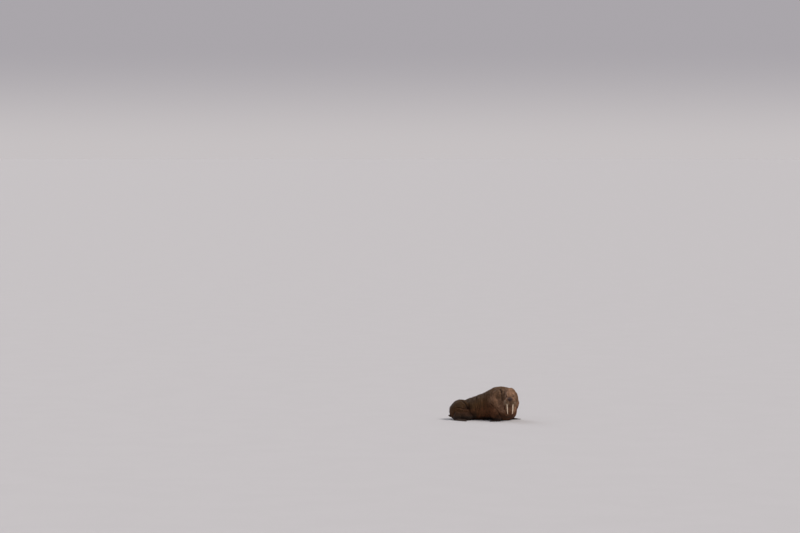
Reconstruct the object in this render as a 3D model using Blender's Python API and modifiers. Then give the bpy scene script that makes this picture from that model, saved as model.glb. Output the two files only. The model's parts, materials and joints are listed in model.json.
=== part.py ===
"""A life-size walrus that lies on its belly with its forebody raised, built in named parts.

The flesh is modelled whole from lofts and rounded masses, fused into one skin, and parted with thin cuts.
X runs from the rump towards the chest, Y to the animal's left, Z up, in metres. The belly rests on Z = 0.
"""

import math
import random

import bmesh
import bpy
from mathutils import Matrix, Vector
from mathutils.bvhtree import BVHTree

SEED = 7

# Fits and mesh sizes
GAP = 0.0003  # between parts that touch
VOXEL = 0.0075
SMOOTHING_ROUNDS = 14
HEAD_SMOOTHING = 0.45  # the share of it that the head gets
FLESH_TRIANGLES = 9600
HEAD_DETAIL = 0.00011  # how much more the head keeps when the mesh is thinned
SUNK = 0.012  # what rests on the floor is modelled this far below it and cut flat
FAR = 3.0  # beyond the whole animal

# Trunk and neck, from the tail to the back of the head: x, y, z, half width, rise and drop from the centre
SPINE = (
    (-1.165, -0.108, 0.200, 0.060, 0.050, 0.070),
    (-1.120, -0.096, 0.215, 0.205, 0.150, 0.220),
    (-1.010, -0.076, 0.265, 0.320, 0.255, 0.290),
    (-0.825, -0.044, 0.335, 0.400, 0.340, 0.360),
    (-0.632, 0.010, 0.360, 0.415, 0.325, 0.380),
    (-0.438, 0.065, 0.385, 0.445, 0.355, 0.405),
    (-0.176, 0.131, 0.425, 0.475, 0.410, 0.445),
    (0.090, 0.178, 0.465, 0.495, 0.470, 0.485),
    (0.360, 0.145, 0.535, 0.510, 0.520, 0.530),
    (0.601, 0.045, 0.640, 0.505, 0.525, 0.520),
    (0.780, -0.108, 0.735, 0.450, 0.430, 0.430),
    (0.885, -0.251, 0.800, 0.345, 0.300, 0.340),
    (0.945, -0.382, 0.830, 0.255, 0.205, 0.250),
    (0.962, -0.480, 0.830, 0.120, 0.110, 0.120),
)
SPINE_STEPS = 9
SPINE_SIDES = 72

# Skin folds across the trunk: station at the back, lean towards the belly, depth, half width, and its side
FOLDS = (
    (4.25, 0.35, 0.050, 0.15, "right"),
    (3.95, 0.10, 0.022, 0.12, "left"),
    (5.15, 0.35, 0.018, 0.080, "right"),
    (5.75, 0.25, 0.024, 0.085, "right"),
    (6.45, 0.20, 0.014, 0.080, "right"),
    (7.05, 0.10, 0.018, 0.080, "right"),
    (9.95, 0.10, 0.012, 0.085, "both"),
    (10.55, -0.25, 0.020, 0.110, "both"),
    (11.10, 0.10, 0.022, 0.110, "right"),
    (11.25, -0.20, 0.018, 0.120, "left"),
)

# Chest frame, which carries the foreflippers: on the left the hand rests further back than on the right
CHEST_AT = Vector((0.625, 0.045, 0.0))
CHEST_HEADING = -50.0
SHOULDER = Vector((0.040, 0.370, 0.430))
WRISTS = {1: Vector((-0.060, 0.365, 0.075)), -1: Vector((0.330, 0.350, 0.075))}
HAND_BACK = {1: 18.0, -1: 32.0}  # the hand points out to the side and this far back
FORE_DIGITS = (0.400, 0.395, 0.370, 0.330, 0.280)
FORE_SPREAD = 56.0
FORE_THICK = 0.090
FORE_CELL_LEAN = 24.0  # the cut that frees a foreflipper leans in towards the floor
FORE_CELL = ((-0.26, 0.330, -0.60), (0.62, 0.640, 0.340))
HAND_CELL = ((0.00, -0.27, -0.60), (0.60, 0.27, 0.130))

# Rump frame, which carries the hindflippers
RUMP_AT = Vector((-0.825, -0.044, 0.0))
RUMP_HEADING = 13.0
HIP_BACK, HIP_OUT, HIP_HIGH = -0.04, 0.255, 0.240
ANKLE_BACK, ANKLE_OUT, ANKLE_HIGH = 0.150, 0.350, 0.085
HIND_FOOT_OUT = 28.0  # the foot points forward and this far out
HIND_DIGITS = (0.600, 0.530, 0.490, 0.510, 0.570)
HIND_SPREAD = 38.0
HIND_THICK = 0.085
HIND_CELL_LEAN = 22.0
HIND_CELL = ((-0.45, 0.290, -0.60), (0.50, 1.10, 0.215))
TAIL_FROM, TAIL_TOP = -0.352, 0.185

# Head frame: its origin is midway between the eyes, and it looks down by the pitch
HEAD_AT = Vector((1.000, -0.570, 0.865))
HEAD_HEADING = -80.0
HEAD_PITCH = -30.0
PAD_AT = Vector((0.182, 0.084, -0.078))
EYE_FROM = Vector((0.040, 0.096, 0.048))  # the middle of the mound that holds the eye
EYE_RADIUS = 0.020
EYE_GAZE = Vector((0.50, 0.85, 0.15))
EYE_ASIDE = 0.35  # how far aside of the gaze the skin's slope is felt
EYE_LIDS, LIDS_DEEP = Vector((0.0210, 0.0350, 0.0270)), 0.0185
EYE_OPENING, OPENING_OUT = Vector((0.0130, 0.0175, 0.0100)), 0.002
EYE_FRONT = -0.0005  # how far the eyeball stands out of the skin around its lids
NOSTRIL_FROM = Vector((0.140, 0.020, 0.000))
NOSTRIL_WAY = Vector((1.0, 0.22, 0.42))
NOSTRIL = Vector((0.014, 0.0065, 0.0200))
EAR_FROM = Vector((-0.150, 0.060, 0.010))
MOUTH_HIGH = -0.150
MUZZLE_FROM = 0.095
JAW_HALF_WIDE = 0.084
NECK_CUT = -0.190  # the head ends this far behind its origin

# Tusks, in a frame that stands upright under the head
TUSK_ROOT = Vector((0.112, 0.106, -0.110))
TUSK_LENGTH = 0.490
TUSK_SWEEP = 0.050  # how far the tip curves back
TUSK_TOE_IN = 0.027
TUSK_HALF_WIDE, TUSK_HALF_DEEP = 0.0215, 0.0285

# Whiskers, on each pad
WHISKER_ROWS = 6
WHISKERS_A_ROW = 7
WHISKER_THICK = 0.0040
WHISKER_LENGTHS = (0.030, 0.105)
WHISKER_SUNK = 0.012

# Claws, on each digit
CLAW_LENGTH, CLAW_THICK = 0.026, 0.0075

HIDE = (0.075, 0.042, 0.024)
BARE_SKIN = (0.040, 0.026, 0.021)
FACE_HIDE = (0.120, 0.070, 0.048)
IVORY = (0.620, 0.500, 0.360)
EYE_DARK = (0.012, 0.008, 0.007)


def clear_scene():
    for old in list(bpy.data.objects):
        bpy.data.objects.remove(old, do_unlink=True)


def new_collection(name):
    made = bpy.data.collections.new(name)
    bpy.context.scene.collection.children.link(made)
    return made


def new_object(name, bm, collection):
    mesh = bpy.data.meshes.new(name)
    bmesh.ops.recalc_face_normals(bm, faces=bm.faces)
    if bm.calc_volume(signed=True) < 0:
        bmesh.ops.reverse_faces(bm, faces=bm.faces)
    bm.to_mesh(mesh)
    bm.free()
    made = bpy.data.objects.new(name, mesh)
    collection.objects.link(made)
    return made


def remove(objects):
    for obj in list(objects):
        bpy.data.objects.remove(obj, do_unlink=True)


def apply_modifiers(obj):
    """Bakes the object's modifiers into a mesh of its own."""
    bpy.context.view_layer.update()
    graph = bpy.context.evaluated_depsgraph_get()
    baked = bpy.data.meshes.new_from_object(obj.evaluated_get(graph))
    obj.modifiers.clear()
    obj.data = baked


def frame_at(origin, heading, pitch=0.0):
    """A frame whose X looks along the heading and pitch, in degrees, with Y to the left."""
    turned = Matrix.Rotation(math.radians(heading), 4, "Z") @ Matrix.Rotation(math.radians(-pitch), 4, "Y")
    return Matrix.Translation(origin) @ turned


CHEST = frame_at(CHEST_AT, CHEST_HEADING)
RUMP = frame_at(RUMP_AT, RUMP_HEADING)
HEAD = frame_at(HEAD_AT, HEAD_HEADING, HEAD_PITCH)
FACE = frame_at(HEAD_AT, HEAD_HEADING)


def mirrored(point, side):
    return Vector((point[0], point[1] * side, point[2]))


def smooth_rows(rows, steps):
    """The rows, read along a Catmull-Rom curve with this many steps a span."""
    ends = [rows[0], *rows, rows[-1]]
    found = []
    for i in range(len(rows) - 1):
        before, start, end, after = (Vector(r) for r in ends[i : i + 4])
        for k in range(steps):
            t = k / steps
            found.append(
                0.5
                * (
                    2 * start
                    + (end - before) * t
                    + (2 * before - 5 * start + 4 * end - after) * t * t
                    + (3 * start - before - 3 * end + after) * t**3
                )
            )
    found.append(Vector(rows[-1]))
    return found


def loft(name, rows, collection, sides=24, steps=5, up=(0, 0, 1), shaped=None):
    """A closed tube through rows of x, y, z, half width, rise and drop, with a cap at each end.

    shaped(station, angle, reach) gives a share by which that point of the section is drawn in.
    """
    rows = smooth_rows(rows, steps)
    last = len(rows) - 1
    bm = bmesh.new()
    rings = []
    for i, row in enumerate(rows):
        centre = Vector(row[:3])
        ahead = Vector(rows[min(i + 1, last)][:3]) - Vector(rows[max(i - 1, 0)][:3])
        side = Vector(up).cross(ahead).normalized()
        over = ahead.cross(side).normalized()
        ring = []
        for j in range(sides):
            angle = 2 * math.pi * j / sides
            across, high = row[3] * math.cos(angle), math.sin(angle)
            high *= row[4] if high > 0 else row[5]
            out = side * across + over * high
            if shaped:
                out *= 1 - shaped(i / steps, angle, out.length)
            ring.append(bm.verts.new(centre + out))
        rings.append(ring)
    for first, second in zip(rings, rings[1:]):
        for j in range(sides):
            k = (j + 1) % sides
            bm.faces.new((first[j], first[k], second[k], second[j]))
    for ring, row in ((rings[0], rows[0]), (rings[-1], rows[-1])):
        pole = bm.verts.new(Vector(row[:3]))
        for j in range(sides):
            bm.faces.new((ring[j], ring[(j + 1) % sides], pole))
    return new_object(name, bm, collection)


def ball(name, frame, centre, radii, collection, turn=(0, 0, 0), segments=24):
    """An ellipsoid in a frame, turned about its own X, Y and Z in degrees."""
    bm = bmesh.new()
    bmesh.ops.create_uvsphere(bm, u_segments=segments, v_segments=segments * 2 // 3, radius=1.0)
    turned = Matrix.Identity(4)
    for axis, angle in zip("XYZ", turn):
        turned = Matrix.Rotation(math.radians(angle), 4, axis) @ turned
    bm.transform(frame @ Matrix.Translation(centre) @ turned @ Matrix.Diagonal((*radii, 1)))
    return new_object(name, bm, collection)


def block(name, frame, low, high, collection):
    """A box between two corners in a frame."""
    bm = bmesh.new()
    bmesh.ops.create_cube(bm, size=1.0)
    low, high = Vector(low), Vector(high)
    bm.transform(frame @ Matrix.Translation((low + high) / 2) @ Matrix.Diagonal((*(high - low), 1)))
    return new_object(name, bm, collection)


def trunk_folds(station, angle, reach):
    """How far the skin folds draw in the trunk's surface, as a share of its radius."""
    share = 0.0
    height = math.sin(angle)
    side = math.cos(angle)  # 1 on the animal's left
    for start, lean, depth, half, shown in FOLDS:
        middle = start + lean * (1 - height) / 2
        near = math.exp(-(((station - middle) / half) ** 2))
        if shown == "right":
            near *= 0.5 - 0.5 * math.tanh(2.2 * side - 0.3)
        elif shown == "left":
            near *= 0.5 + 0.5 * math.tanh(2.2 * side + 0.3)
        share += depth * near / max(reach, 0.05)
    return share


def fan(name, frame, digits, spread, thick, pieces):
    """A webbed flipper in its frame: X points along the middle digit, and the sole lies level at Z = 0.

    Each digit is a low ridge with its own length, and the web between them is thinner and shorter.
    """
    count = len(digits)
    columns, rows = count * 7, 16
    bm = bmesh.new()
    sections = []
    for i in range(columns + 1):
        across = i / columns
        place = across * count - 0.5
        whole = max(0, min(int(place), count - 2))
        part = place - whole
        web = math.sin(math.pi * part) ** 2
        length = (digits[whole] * (1 - part) + digits[whole + 1] * part) * (1 - 0.10 * web)
        rim = 0.25 + 0.75 * math.sqrt(1 - (2 * across - 1) ** 2)
        root, way = ray(across, spread, thick)
        ring = []
        for k in range(rows):
            turn = 2 * math.pi * k / rows
            along, height = 0.5 - 0.5 * math.cos(turn), math.sin(turn)
            deep = thick * rim * (1 - 0.60 * along) * (1 - 0.45 * web * along)
            lift = deep * height if height > 0 else 2 * SUNK * height
            ring.append(bm.verts.new(frame @ (root + way * (length * along) + Vector((0, 0, lift)))))
        sections.append(ring)
    for first, second in zip(sections, sections[1:]):
        for k in range(rows):
            n = (k + 1) % rows
            bm.faces.new((first[k], first[n], second[n], second[k]))
    for ring in (sections[0], sections[-1]):
        bm.faces.new(ring)
    return new_object(name, bm, pieces)


def ray(across, spread, thick):
    """Where a ray of the fan starts and which way it points, from 0 at its +Y edge to 1 at its -Y edge."""
    angle = math.radians(spread * (0.5 - across))
    return Vector((0, thick * 1.05 * (1 - 2 * across), 0)), Vector((math.cos(angle), math.sin(angle), 0))


def hand_frame(side):
    wrist = CHEST @ Vector((WRISTS[side][0], WRISTS[side][1] * side, 0))
    return frame_at(wrist, CHEST_HEADING + side * (90 + HAND_BACK[side])) @ Matrix.Translation((-0.09, 0, 0))


def foot_frame(side):
    ankle = RUMP @ Vector((-ANKLE_BACK, ANKLE_OUT * side, 0))
    return frame_at(ankle, RUMP_HEADING + side * HIND_FOOT_OUT) @ Matrix.Translation((-0.06, 0, 0))


def hand_digits(side):
    """Digit lengths from the +Y edge of the hand's frame: the first digit leads, on the front edge."""
    return FORE_DIGITS[::-1] if side > 0 else FORE_DIGITS


def foreflipper_masses(side, pieces):
    shoulder = CHEST @ mirrored(SHOULDER, side)
    wrist = CHEST @ mirrored(WRISTS[side], side)
    outwards = CHEST.to_3x3() @ Vector((0, side, 0))
    elbow = shoulder.lerp(wrist, 0.5) + outwards * 0.055
    arm = (
        (*shoulder, 0.215, 0.130, 0.130),
        (*elbow, 0.205, 0.110, 0.110),
        (*(wrist.lerp(elbow, 0.35) + outwards * 0.01), 0.175, 0.090, 0.095),
        (*wrist, 0.150, 0.080, 0.085),
        (*(wrist - Vector((0, 0, 0.055))), 0.090, 0.050, 0.055),
    )
    loft(f"arm_{side}", arm, pieces, up=outwards)
    fan(f"hand_{side}", hand_frame(side), hand_digits(side), FORE_SPREAD, FORE_THICK, pieces)


def hindflipper_masses(side, pieces):
    hip = RUMP @ Vector((-HIP_BACK, HIP_OUT * side, HIP_HIGH))
    ankle = RUMP @ Vector((-ANKLE_BACK, ANKLE_OUT * side, ANKLE_HIGH))
    outwards = RUMP.to_3x3() @ Vector((0, side, 0))
    knee = hip.lerp(ankle, 0.5) + outwards * 0.030
    leg = (
        (*hip, 0.220, 0.130, 0.170),
        (*knee, 0.165, 0.105, 0.125),
        (*ankle, 0.105, 0.080, 0.085),
        (*(ankle - Vector((0, 0, 0.045))), 0.065, 0.045, 0.050),
    )
    loft(f"shank_{side}", leg, pieces, up=outwards)
    fan(f"foot_{side}", foot_frame(side), HIND_DIGITS[::side], HIND_SPREAD, HIND_THICK, pieces)


def head_masses(pieces):
    """The rounded masses of the head, in the head's frame."""
    single = (
        ("cranium", (-0.100, 0, -0.010), (0.210, 0.158, 0.142), (0, 0, 0)),
        ("occiput", (-0.225, 0, -0.040), (0.205, 0.200, 0.190), (0, 0, 0)),
        ("snout", (0.080, 0, -0.050), (0.160, 0.140, 0.112), (0, 4, 0)),
        ("forehead", (0.000, 0, 0.040), (0.140, 0.112, 0.066), (0, 10, 0)),
        ("bridge", (0.085, 0, 0.022), (0.170, 0.074, 0.054), (0, 8, 0)),
        ("nose", (0.196, 0, 0.004), (0.068, 0.086, 0.056), (0, 24, 0)),
        ("philtrum", (0.212, 0, -0.080), (0.056, 0.060, 0.080), (0, 0, 0)),
        ("jaw", (0.050, 0, -0.150), (0.165, 0.095, 0.072), (0, -6, 0)),
        ("chin", (0.155, 0, -0.184), (0.066, 0.060, 0.056), (0, 0, 0)),
        ("throat", (-0.120, 0, -0.180), (0.200, 0.170, 0.120), (0, 20, 0)),
    )
    for name, centre, radii, turn in single:
        ball(name, HEAD, centre, radii, pieces, turn)
    paired = (
        ("pad", PAD_AT, (0.092, 0.106, 0.114), (14, 18, 12)),
        ("lip", (0.110, 0.104, -0.122), (0.092, 0.066, 0.072), (0, 0, 0)),
        ("cheek", (-0.040, 0.112, -0.080), (0.150, 0.080, 0.110), (0, 0, 0)),
        ("socket", EYE_FROM, (0.056, 0.046, 0.040), (0, 0, 0)),
        ("brow", (-0.030, 0.066, 0.062), (0.110, 0.066, 0.044), (0, 6, 10)),
    )
    for name, centre, radii, turn in paired:
        for side in (1, -1):
            turned = (turn[0] * side, turn[1], turn[2] * side)
            ball(f"{name}_{side}", HEAD, mirrored(centre, side), radii, pieces, turned)


def body_masses(pieces):
    """Fat and muscle that the spine's sections don't give."""
    ball("breast", CHEST, (0.170, 0.0, 0.400), (0.280, 0.460, 0.420), pieces)
    ball("breast_low", CHEST, (0.160, 0.0, 0.220), (0.270, 0.400, 0.240), pieces)
    ball("nape", CHEST, (-0.040, 0.03, 0.700), (0.420, 0.400, 0.440), pieces)
    for side in (1, -1):
        ball(f"shoulder_{side}", CHEST, (0.06, 0.355 * side, 0.560), (0.280, 0.205, 0.330), pieces)
        ball(f"thigh_{side}", RUMP, (0.140, 0.262 * side, 0.170), (0.340, 0.170, 0.200), pieces, (0, 8, 0))
    ball("tail", RUMP, (-0.325, 0.0, 0.120), (0.080, 0.065, 0.036), pieces, (0, 24, 0))


def fused(pieces, model):
    """One closed skin over all the overlapping masses, thinned to a modest number of triangles."""
    bm = bmesh.new()
    for piece in pieces.objects:
        bm.from_mesh(piece.data)
    remove(pieces.objects)
    flesh = new_object("torso", bm, model)
    remesh = flesh.modifiers.new("fuse", "REMESH")
    remesh.mode = "VOXEL"
    remesh.voxel_size = VOXEL
    apply_modifiers(flesh)
    keep_largest(flesh)
    corners = flesh.data.vertices
    inside = HEAD.inverted()
    face = [v.index for v in corners if (inside @ v.co)[0] > -0.13 and (inside @ v.co).length < 0.30]
    for name, share in (("relaxed", HEAD_SMOOTHING), ("thinned", 0.5)):
        group = flesh.vertex_groups.new(name=name)
        group.add(range(len(corners)), 1.0, "REPLACE")
        group.add(face, share, "REPLACE")
    relax = flesh.modifiers.new("relax", "SMOOTH")
    relax.vertex_group = "relaxed"
    relax.factor = 0.5
    relax.iterations = SMOOTHING_ROUNDS
    thin = flesh.modifiers.new("thin", "DECIMATE")
    thin.vertex_group = "thinned"
    thin.vertex_group_factor = HEAD_DETAIL
    thin.ratio = FLESH_TRIANGLES / (2 * len(flesh.data.polygons))
    apply_modifiers(flesh)
    return flesh


def boolean(obj, tools, operation):
    """Applies one Boolean with every object of a collection, then removes them."""
    step = obj.modifiers.new("boolean", "BOOLEAN")
    step.operation = operation
    step.operand_type = "COLLECTION"
    step.collection = tools
    step.solver = "MANIFOLD"
    apply_modifiers(obj)
    remove(tools.objects)
    keep_largest(obj)


def islands(bm):
    """The connected groups of faces."""
    left = set(bm.faces)
    found = []
    while left:
        group, open_faces = [], [left.pop()]
        while open_faces:
            face = open_faces.pop()
            group.append(face)
            for edge in face.edges:
                for near in edge.link_faces:
                    if near in left:
                        left.remove(near)
                        open_faces.append(near)
        found.append(group)
    return found


def keep_largest(obj):
    """Keeps only the closed surface with the most faces."""
    bm = bmesh.new()
    bm.from_mesh(obj.data)
    for group in sorted(islands(bm), key=len)[:-1]:
        bmesh.ops.delete(bm, geom=group, context="FACES")
    bm.to_mesh(obj.data)
    bm.free()


def take(flesh, name, cells, model, tools):
    """Parts the flesh inside one or more boxes from the rest, as its own object, with a gap between them.

    A cell is the frame of a box and its two corners in it.
    """
    piece = bpy.data.objects.new(name, flesh.data.copy())
    model.objects.link(piece)
    for part, operation, grow in ((piece, "INTERSECT", 0.0), (flesh, "DIFFERENCE", GAP)):
        rim = Vector((grow, grow, grow))
        boxes = [block("cell", at, Vector(low) - rim, Vector(high) + rim, tools) for at, low, high in cells]
        if len(boxes) > 1:
            first = boxes[0]
            tools.objects.unlink(first)
            model.objects.link(first)
            boolean(first, tools, "UNION")
            tools.objects.link(first)
            model.objects.unlink(first)
        boolean(part, tools, operation)
    return piece


def surface(obj):
    """What a ray from inside the object meets."""
    corners = [v.co.copy() for v in obj.data.vertices]
    return BVHTree.FromPolygons(corners, [tuple(p.vertices) for p in obj.data.polygons])


def facing(origin, way):
    """A frame at the origin whose X looks along the way, with Z as upright as it can be."""
    return Matrix.Translation(origin) @ way.to_track_quat("X", "Z").to_matrix().to_4x4()


def cast(tree, frame, start, way):
    """The point and the direction where a ray from inside, in a frame, leaves the flesh."""
    way = (frame.to_3x3() @ way).normalized()
    place, normal, _, _ = tree.ray_cast(frame @ start, way)
    return place, normal, way


def open_face(flesh, model, tools):
    """Cuts the eyes, nostrils, ears and mouth line into the flesh, and sets the eyeballs."""
    tree = surface(flesh)
    looks = []
    for side in (1, -1):
        start = mirrored(EYE_FROM, side)
        around = [Vector((x, 0, z)) for x in (-EYE_ASIDE, 0, EYE_ASIDE) for z in (-EYE_ASIDE, 0, EYE_ASIDE)]
        hits = [cast(tree, HEAD, start, mirrored(EYE_GAZE, side) + aside) for aside in around]
        outwards = sum((normal for _, normal, _ in hits), Vector()).normalized()
        looks.append(facing(cast(tree, HEAD, start, mirrored(EYE_GAZE, side))[0], outwards))
        ball("lids", looks[-1], (-LIDS_DEEP, 0, 0), EYE_LIDS, tools, segments=16)
    boolean(flesh, tools, "UNION")
    for side, look in zip((1, -1), looks):
        middle = (EYE_FRONT - EYE_RADIUS, 0, 0)
        ball("opening", look, (OPENING_OUT, 0, 0), EYE_OPENING, tools, segments=12)
        ball("orbit", look, middle, (EYE_RADIUS + GAP,) * 3, tools, segments=14)
        name = "eye_left" if side > 0 else "eye_right"
        ball(name, look, middle, (EYE_RADIUS,) * 3, model, segments=14)

        place, _, way = cast(tree, HEAD, mirrored(NOSTRIL_FROM, side), mirrored(NOSTRIL_WAY, side))
        ball("nostril", facing(place, way), (0, 0, 0), NOSTRIL, tools, (24 * side, 0, 0), segments=10)

        place, _, way = cast(tree, HEAD, mirrored(EAR_FROM, side), Vector((0, side, 0)))
        ball("ear", facing(place, way), (0, 0, 0), (0.016, 0.007, 0.013), tools, segments=10)
    boolean(flesh, tools, "DIFFERENCE")

    slab = block("mouth", HEAD, (-0.02, -0.2, MOUTH_HIGH - 0.004), (0.4, 0.2, MOUTH_HIGH + 0.004), tools)
    model.objects.link(slab)
    tools.objects.unlink(slab)
    ball("core", HEAD, (0.045, 0, MOUTH_HIGH), (0.150, 0.078, 0.06), tools, segments=18)
    boolean(slab, tools, "DIFFERENCE")
    tools.objects.link(slab)
    model.objects.unlink(slab)
    boolean(flesh, tools, "DIFFERENCE")


def tusk(name, side, widen, collection):
    """A tusk that hangs from inside the lip, curving back and in, with an oval section and a blunt tip."""
    rows = []
    count = 7
    for i in range(count):
        along = i / (count - 1)
        x = TUSK_ROOT[0] + 0.018 * math.sin(math.pi * along) - TUSK_SWEEP * along**1.7
        y = (TUSK_ROOT[1] - TUSK_TOE_IN * along**1.2) * side
        shrink = (1 - 0.30 * along - 0.28 * along**4) * (0.45 if along == 1 else 1)
        place = FACE @ Vector((x, y, TUSK_ROOT[2] - TUSK_LENGTH * along + (widen if i == 0 else 0)))
        deep, wide = TUSK_HALF_DEEP * shrink + widen, TUSK_HALF_WIDE * shrink + widen
        rows.append((*place, wide, deep, deep))
    forward = FACE.to_3x3() @ Vector((1, 0, 0))
    return loft(name, rows, collection, sides=12, steps=2, up=forward)


def tusks(flesh, model, tools):
    for side, name in ((1, "tusk_left"), (-1, "tusk_right")):
        tusk(name, side, 0.0, model)
        tusk("socket", side, GAP, tools)
    boolean(flesh, tools, "DIFFERENCE")


def spine(name, root, way, sag, length, thick, collection, parts=2, sides=3):
    """A stiff tapered hair or claw from a root, bending down towards its tip."""
    bm = bmesh.new()
    rings = []
    turn = way.to_track_quat("Z", "Y").to_matrix()
    for i in range(parts):
        along = i / parts
        centre = root + way * (length * along) + Vector((0, 0, -sag * along * along))
        radius = thick * (1 - 0.72 * along)
        ring = []
        for j in range(sides):
            angle = 2 * math.pi * j / sides
            ring.append(bm.verts.new(centre + turn @ Vector((math.cos(angle), math.sin(angle), 0)) * radius))
        rings.append(ring)
    tip = bm.verts.new(root + way * length + Vector((0, 0, -sag)))
    for first, second in zip(rings, rings[1:]):
        for j in range(sides):
            k = (j + 1) % sides
            bm.faces.new((first[j], first[k], second[k], second[j]))
    for j in range(sides):
        bm.faces.new((rings[-1][j], rings[-1][(j + 1) % sides], tip))
    bm.faces.new(rings[0][::-1])
    return new_object(name, bm, collection)


def whiskers(muzzle, tusk_objects, tools):
    """Rows of stout bristles over both lip pads, longest low down, and none against a tusk."""
    tree = surface(muzzle)
    ivory = [surface(obj) for obj in tusk_objects]
    draw = random.Random(SEED)
    turned = HEAD.to_3x3()
    for side in (1, -1):
        middle = HEAD @ mirrored(PAD_AT, side)
        for row in range(WHISKER_ROWS):
            high = row / (WHISKER_ROWS - 1)
            for column in range(WHISKERS_A_ROW):
                out = (column + 0.5 * (row % 2)) / (WHISKERS_A_ROW - 0.5)
                swing = math.radians(-28 + 110 * out + draw.uniform(-3, 3))
                tilt = math.radians(-38 + 80 * high + draw.uniform(-3, 3))
                level = Vector((math.cos(swing), side * math.sin(swing), 0))
                way = turned @ (level * math.cos(tilt) + Vector((0, 0, math.sin(tilt))))
                place, normal, _, _ = tree.ray_cast(middle + way * 0.3, -way)
                long = WHISKER_LENGTHS[0] + (WHISKER_LENGTHS[1] - WHISKER_LENGTHS[0]) * (1 - high) ** 0.8
                long *= draw.uniform(0.85, 1.1)
                if (HEAD.inverted() @ place)[0] < MUZZLE_FROM + 0.02:
                    continue
                lie = (normal * 0.6 + way * 0.4 + Vector((0, 0, -0.40))).normalized()
                marks = [place + lie * (long * k / 6) for k in range(7)]
                if any(tusk.find_nearest(mark)[3] < 0.008 for tusk in ivory for mark in marks):
                    continue
                root = place - lie * WHISKER_SUNK
                spine("whisker", root, lie, long * 0.2, long + WHISKER_SUNK, WHISKER_THICK / 2, tools)
    boolean(muzzle, tools, "UNION")


def claws(flipper, frame, digits, spread, thick, tools):
    """A small nail on the upper side of each digit, a little short of its end."""
    tree = surface(flipper)
    up = Vector((0, 0, 1))
    for i, length in enumerate(digits):
        root, way = ray((i + 0.5) / len(digits), spread, thick)
        root, way = frame @ root, frame.to_3x3() @ way
        place, normal, _, _ = tree.ray_cast(root + way * (length * 0.90) + up * 0.12, -up)
        if place is None or normal.dot(up) < 0.3:
            continue
        lie = (way + up * 0.12).normalized()
        start = place - lie * 0.008 - up * 0.003
        spine("claw", start, lie, 0.006, CLAW_LENGTH, CLAW_THICK, tools, sides=5)
    boolean(flipper, tools, "UNION")
    block("floor", Matrix.Identity(4), (-FAR, -FAR, -FAR), (FAR, FAR, 0), tools)
    boolean(flipper, tools, "DIFFERENCE")


def paint(obj, name, colour, roughness):
    """Gives an object a plain material of that colour."""
    material = bpy.data.materials.get(name) or bpy.data.materials.new(name)
    material.use_nodes = True
    shader = material.node_tree.nodes["Principled BSDF"]
    shader.inputs["Base Color"].default_value = (*colour, 1)
    shader.inputs["Roughness"].default_value = roughness
    obj.data.materials.clear()
    obj.data.materials.append(material)


def leaning_cell(frame, corners, lean, side):
    """A box beside the body whose inner face leans in towards the floor."""
    low, high = corners
    pivot = Vector((0, low[1] * side, 0.12))
    turned = frame @ Matrix.Translation(pivot) @ Matrix.Rotation(math.radians(-lean * side), 4, "X")
    near, far = sorted((0, (high[1] - low[1]) * side))
    return turned, (low[0], near, low[2]), (high[0], far, high[2])


def centred(objects):
    """Shifts the objects so that the origin is under the middle of their box, at its lowest level."""
    corners = [obj.matrix_world @ v.co for obj in objects for v in obj.data.vertices]
    low = Vector(min(c[i] for c in corners) for i in range(3))
    high = Vector(max(c[i] for c in corners) for i in range(3))
    shift = Vector((-(low[0] + high[0]) / 2, -(low[1] + high[1]) / 2, -low[2]))
    for obj in objects:
        obj.location = shift


def parted(torso, model, tools):
    """Takes each named part from the whole flesh, which keeps what is left: the middle of the body."""
    found = {}
    for side, word in ((1, "left"), (-1, "right")):
        arm = leaning_cell(CHEST, FORE_CELL, FORE_CELL_LEAN, side)
        hand = (hand_frame(side), *HAND_CELL)
        leg = leaning_cell(RUMP, HIND_CELL, HIND_CELL_LEAN, side)
        found["foreflipper_" + word] = take(torso, "foreflipper_" + word, (arm, hand), model, tools)
        found["hindflipper_" + word] = take(torso, "hindflipper_" + word, (leg,), model, tools)
    cells = (
        ("tail", RUMP, (-FAR, -0.12, -FAR), (TAIL_FROM, 0.12, TAIL_TOP)),
        ("jaw", HEAD, (-0.02, -JAW_HALF_WIDE, -0.5), (0.5, JAW_HALF_WIDE, MOUTH_HIGH)),
        ("muzzle", HEAD, (MUZZLE_FROM, -0.5, -0.5), (0.5, 0.5, 0.5)),
        ("head", frame_at(HEAD_AT, HEAD_HEADING, -14), (NECK_CUT, -0.26, -0.34), (1, 0.26, 0.6)),
        ("neck", frame_at((0.700, -0.060, 0.72), -60, 46), (0, -FAR, -FAR), (FAR, FAR, FAR)),
        ("rump", frame_at((-0.580, 0.025, 0.4), RUMP_HEADING), (-FAR, -FAR, -FAR), (0, FAR, FAR)),
        ("chest", frame_at((-0.030, 0.155, 0.45), 3, 8), (0, -FAR, -FAR), (FAR, FAR, FAR)),
    )
    for name, *cell in cells:
        found[name] = take(torso, name, (cell,), model, tools)
    return found


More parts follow.
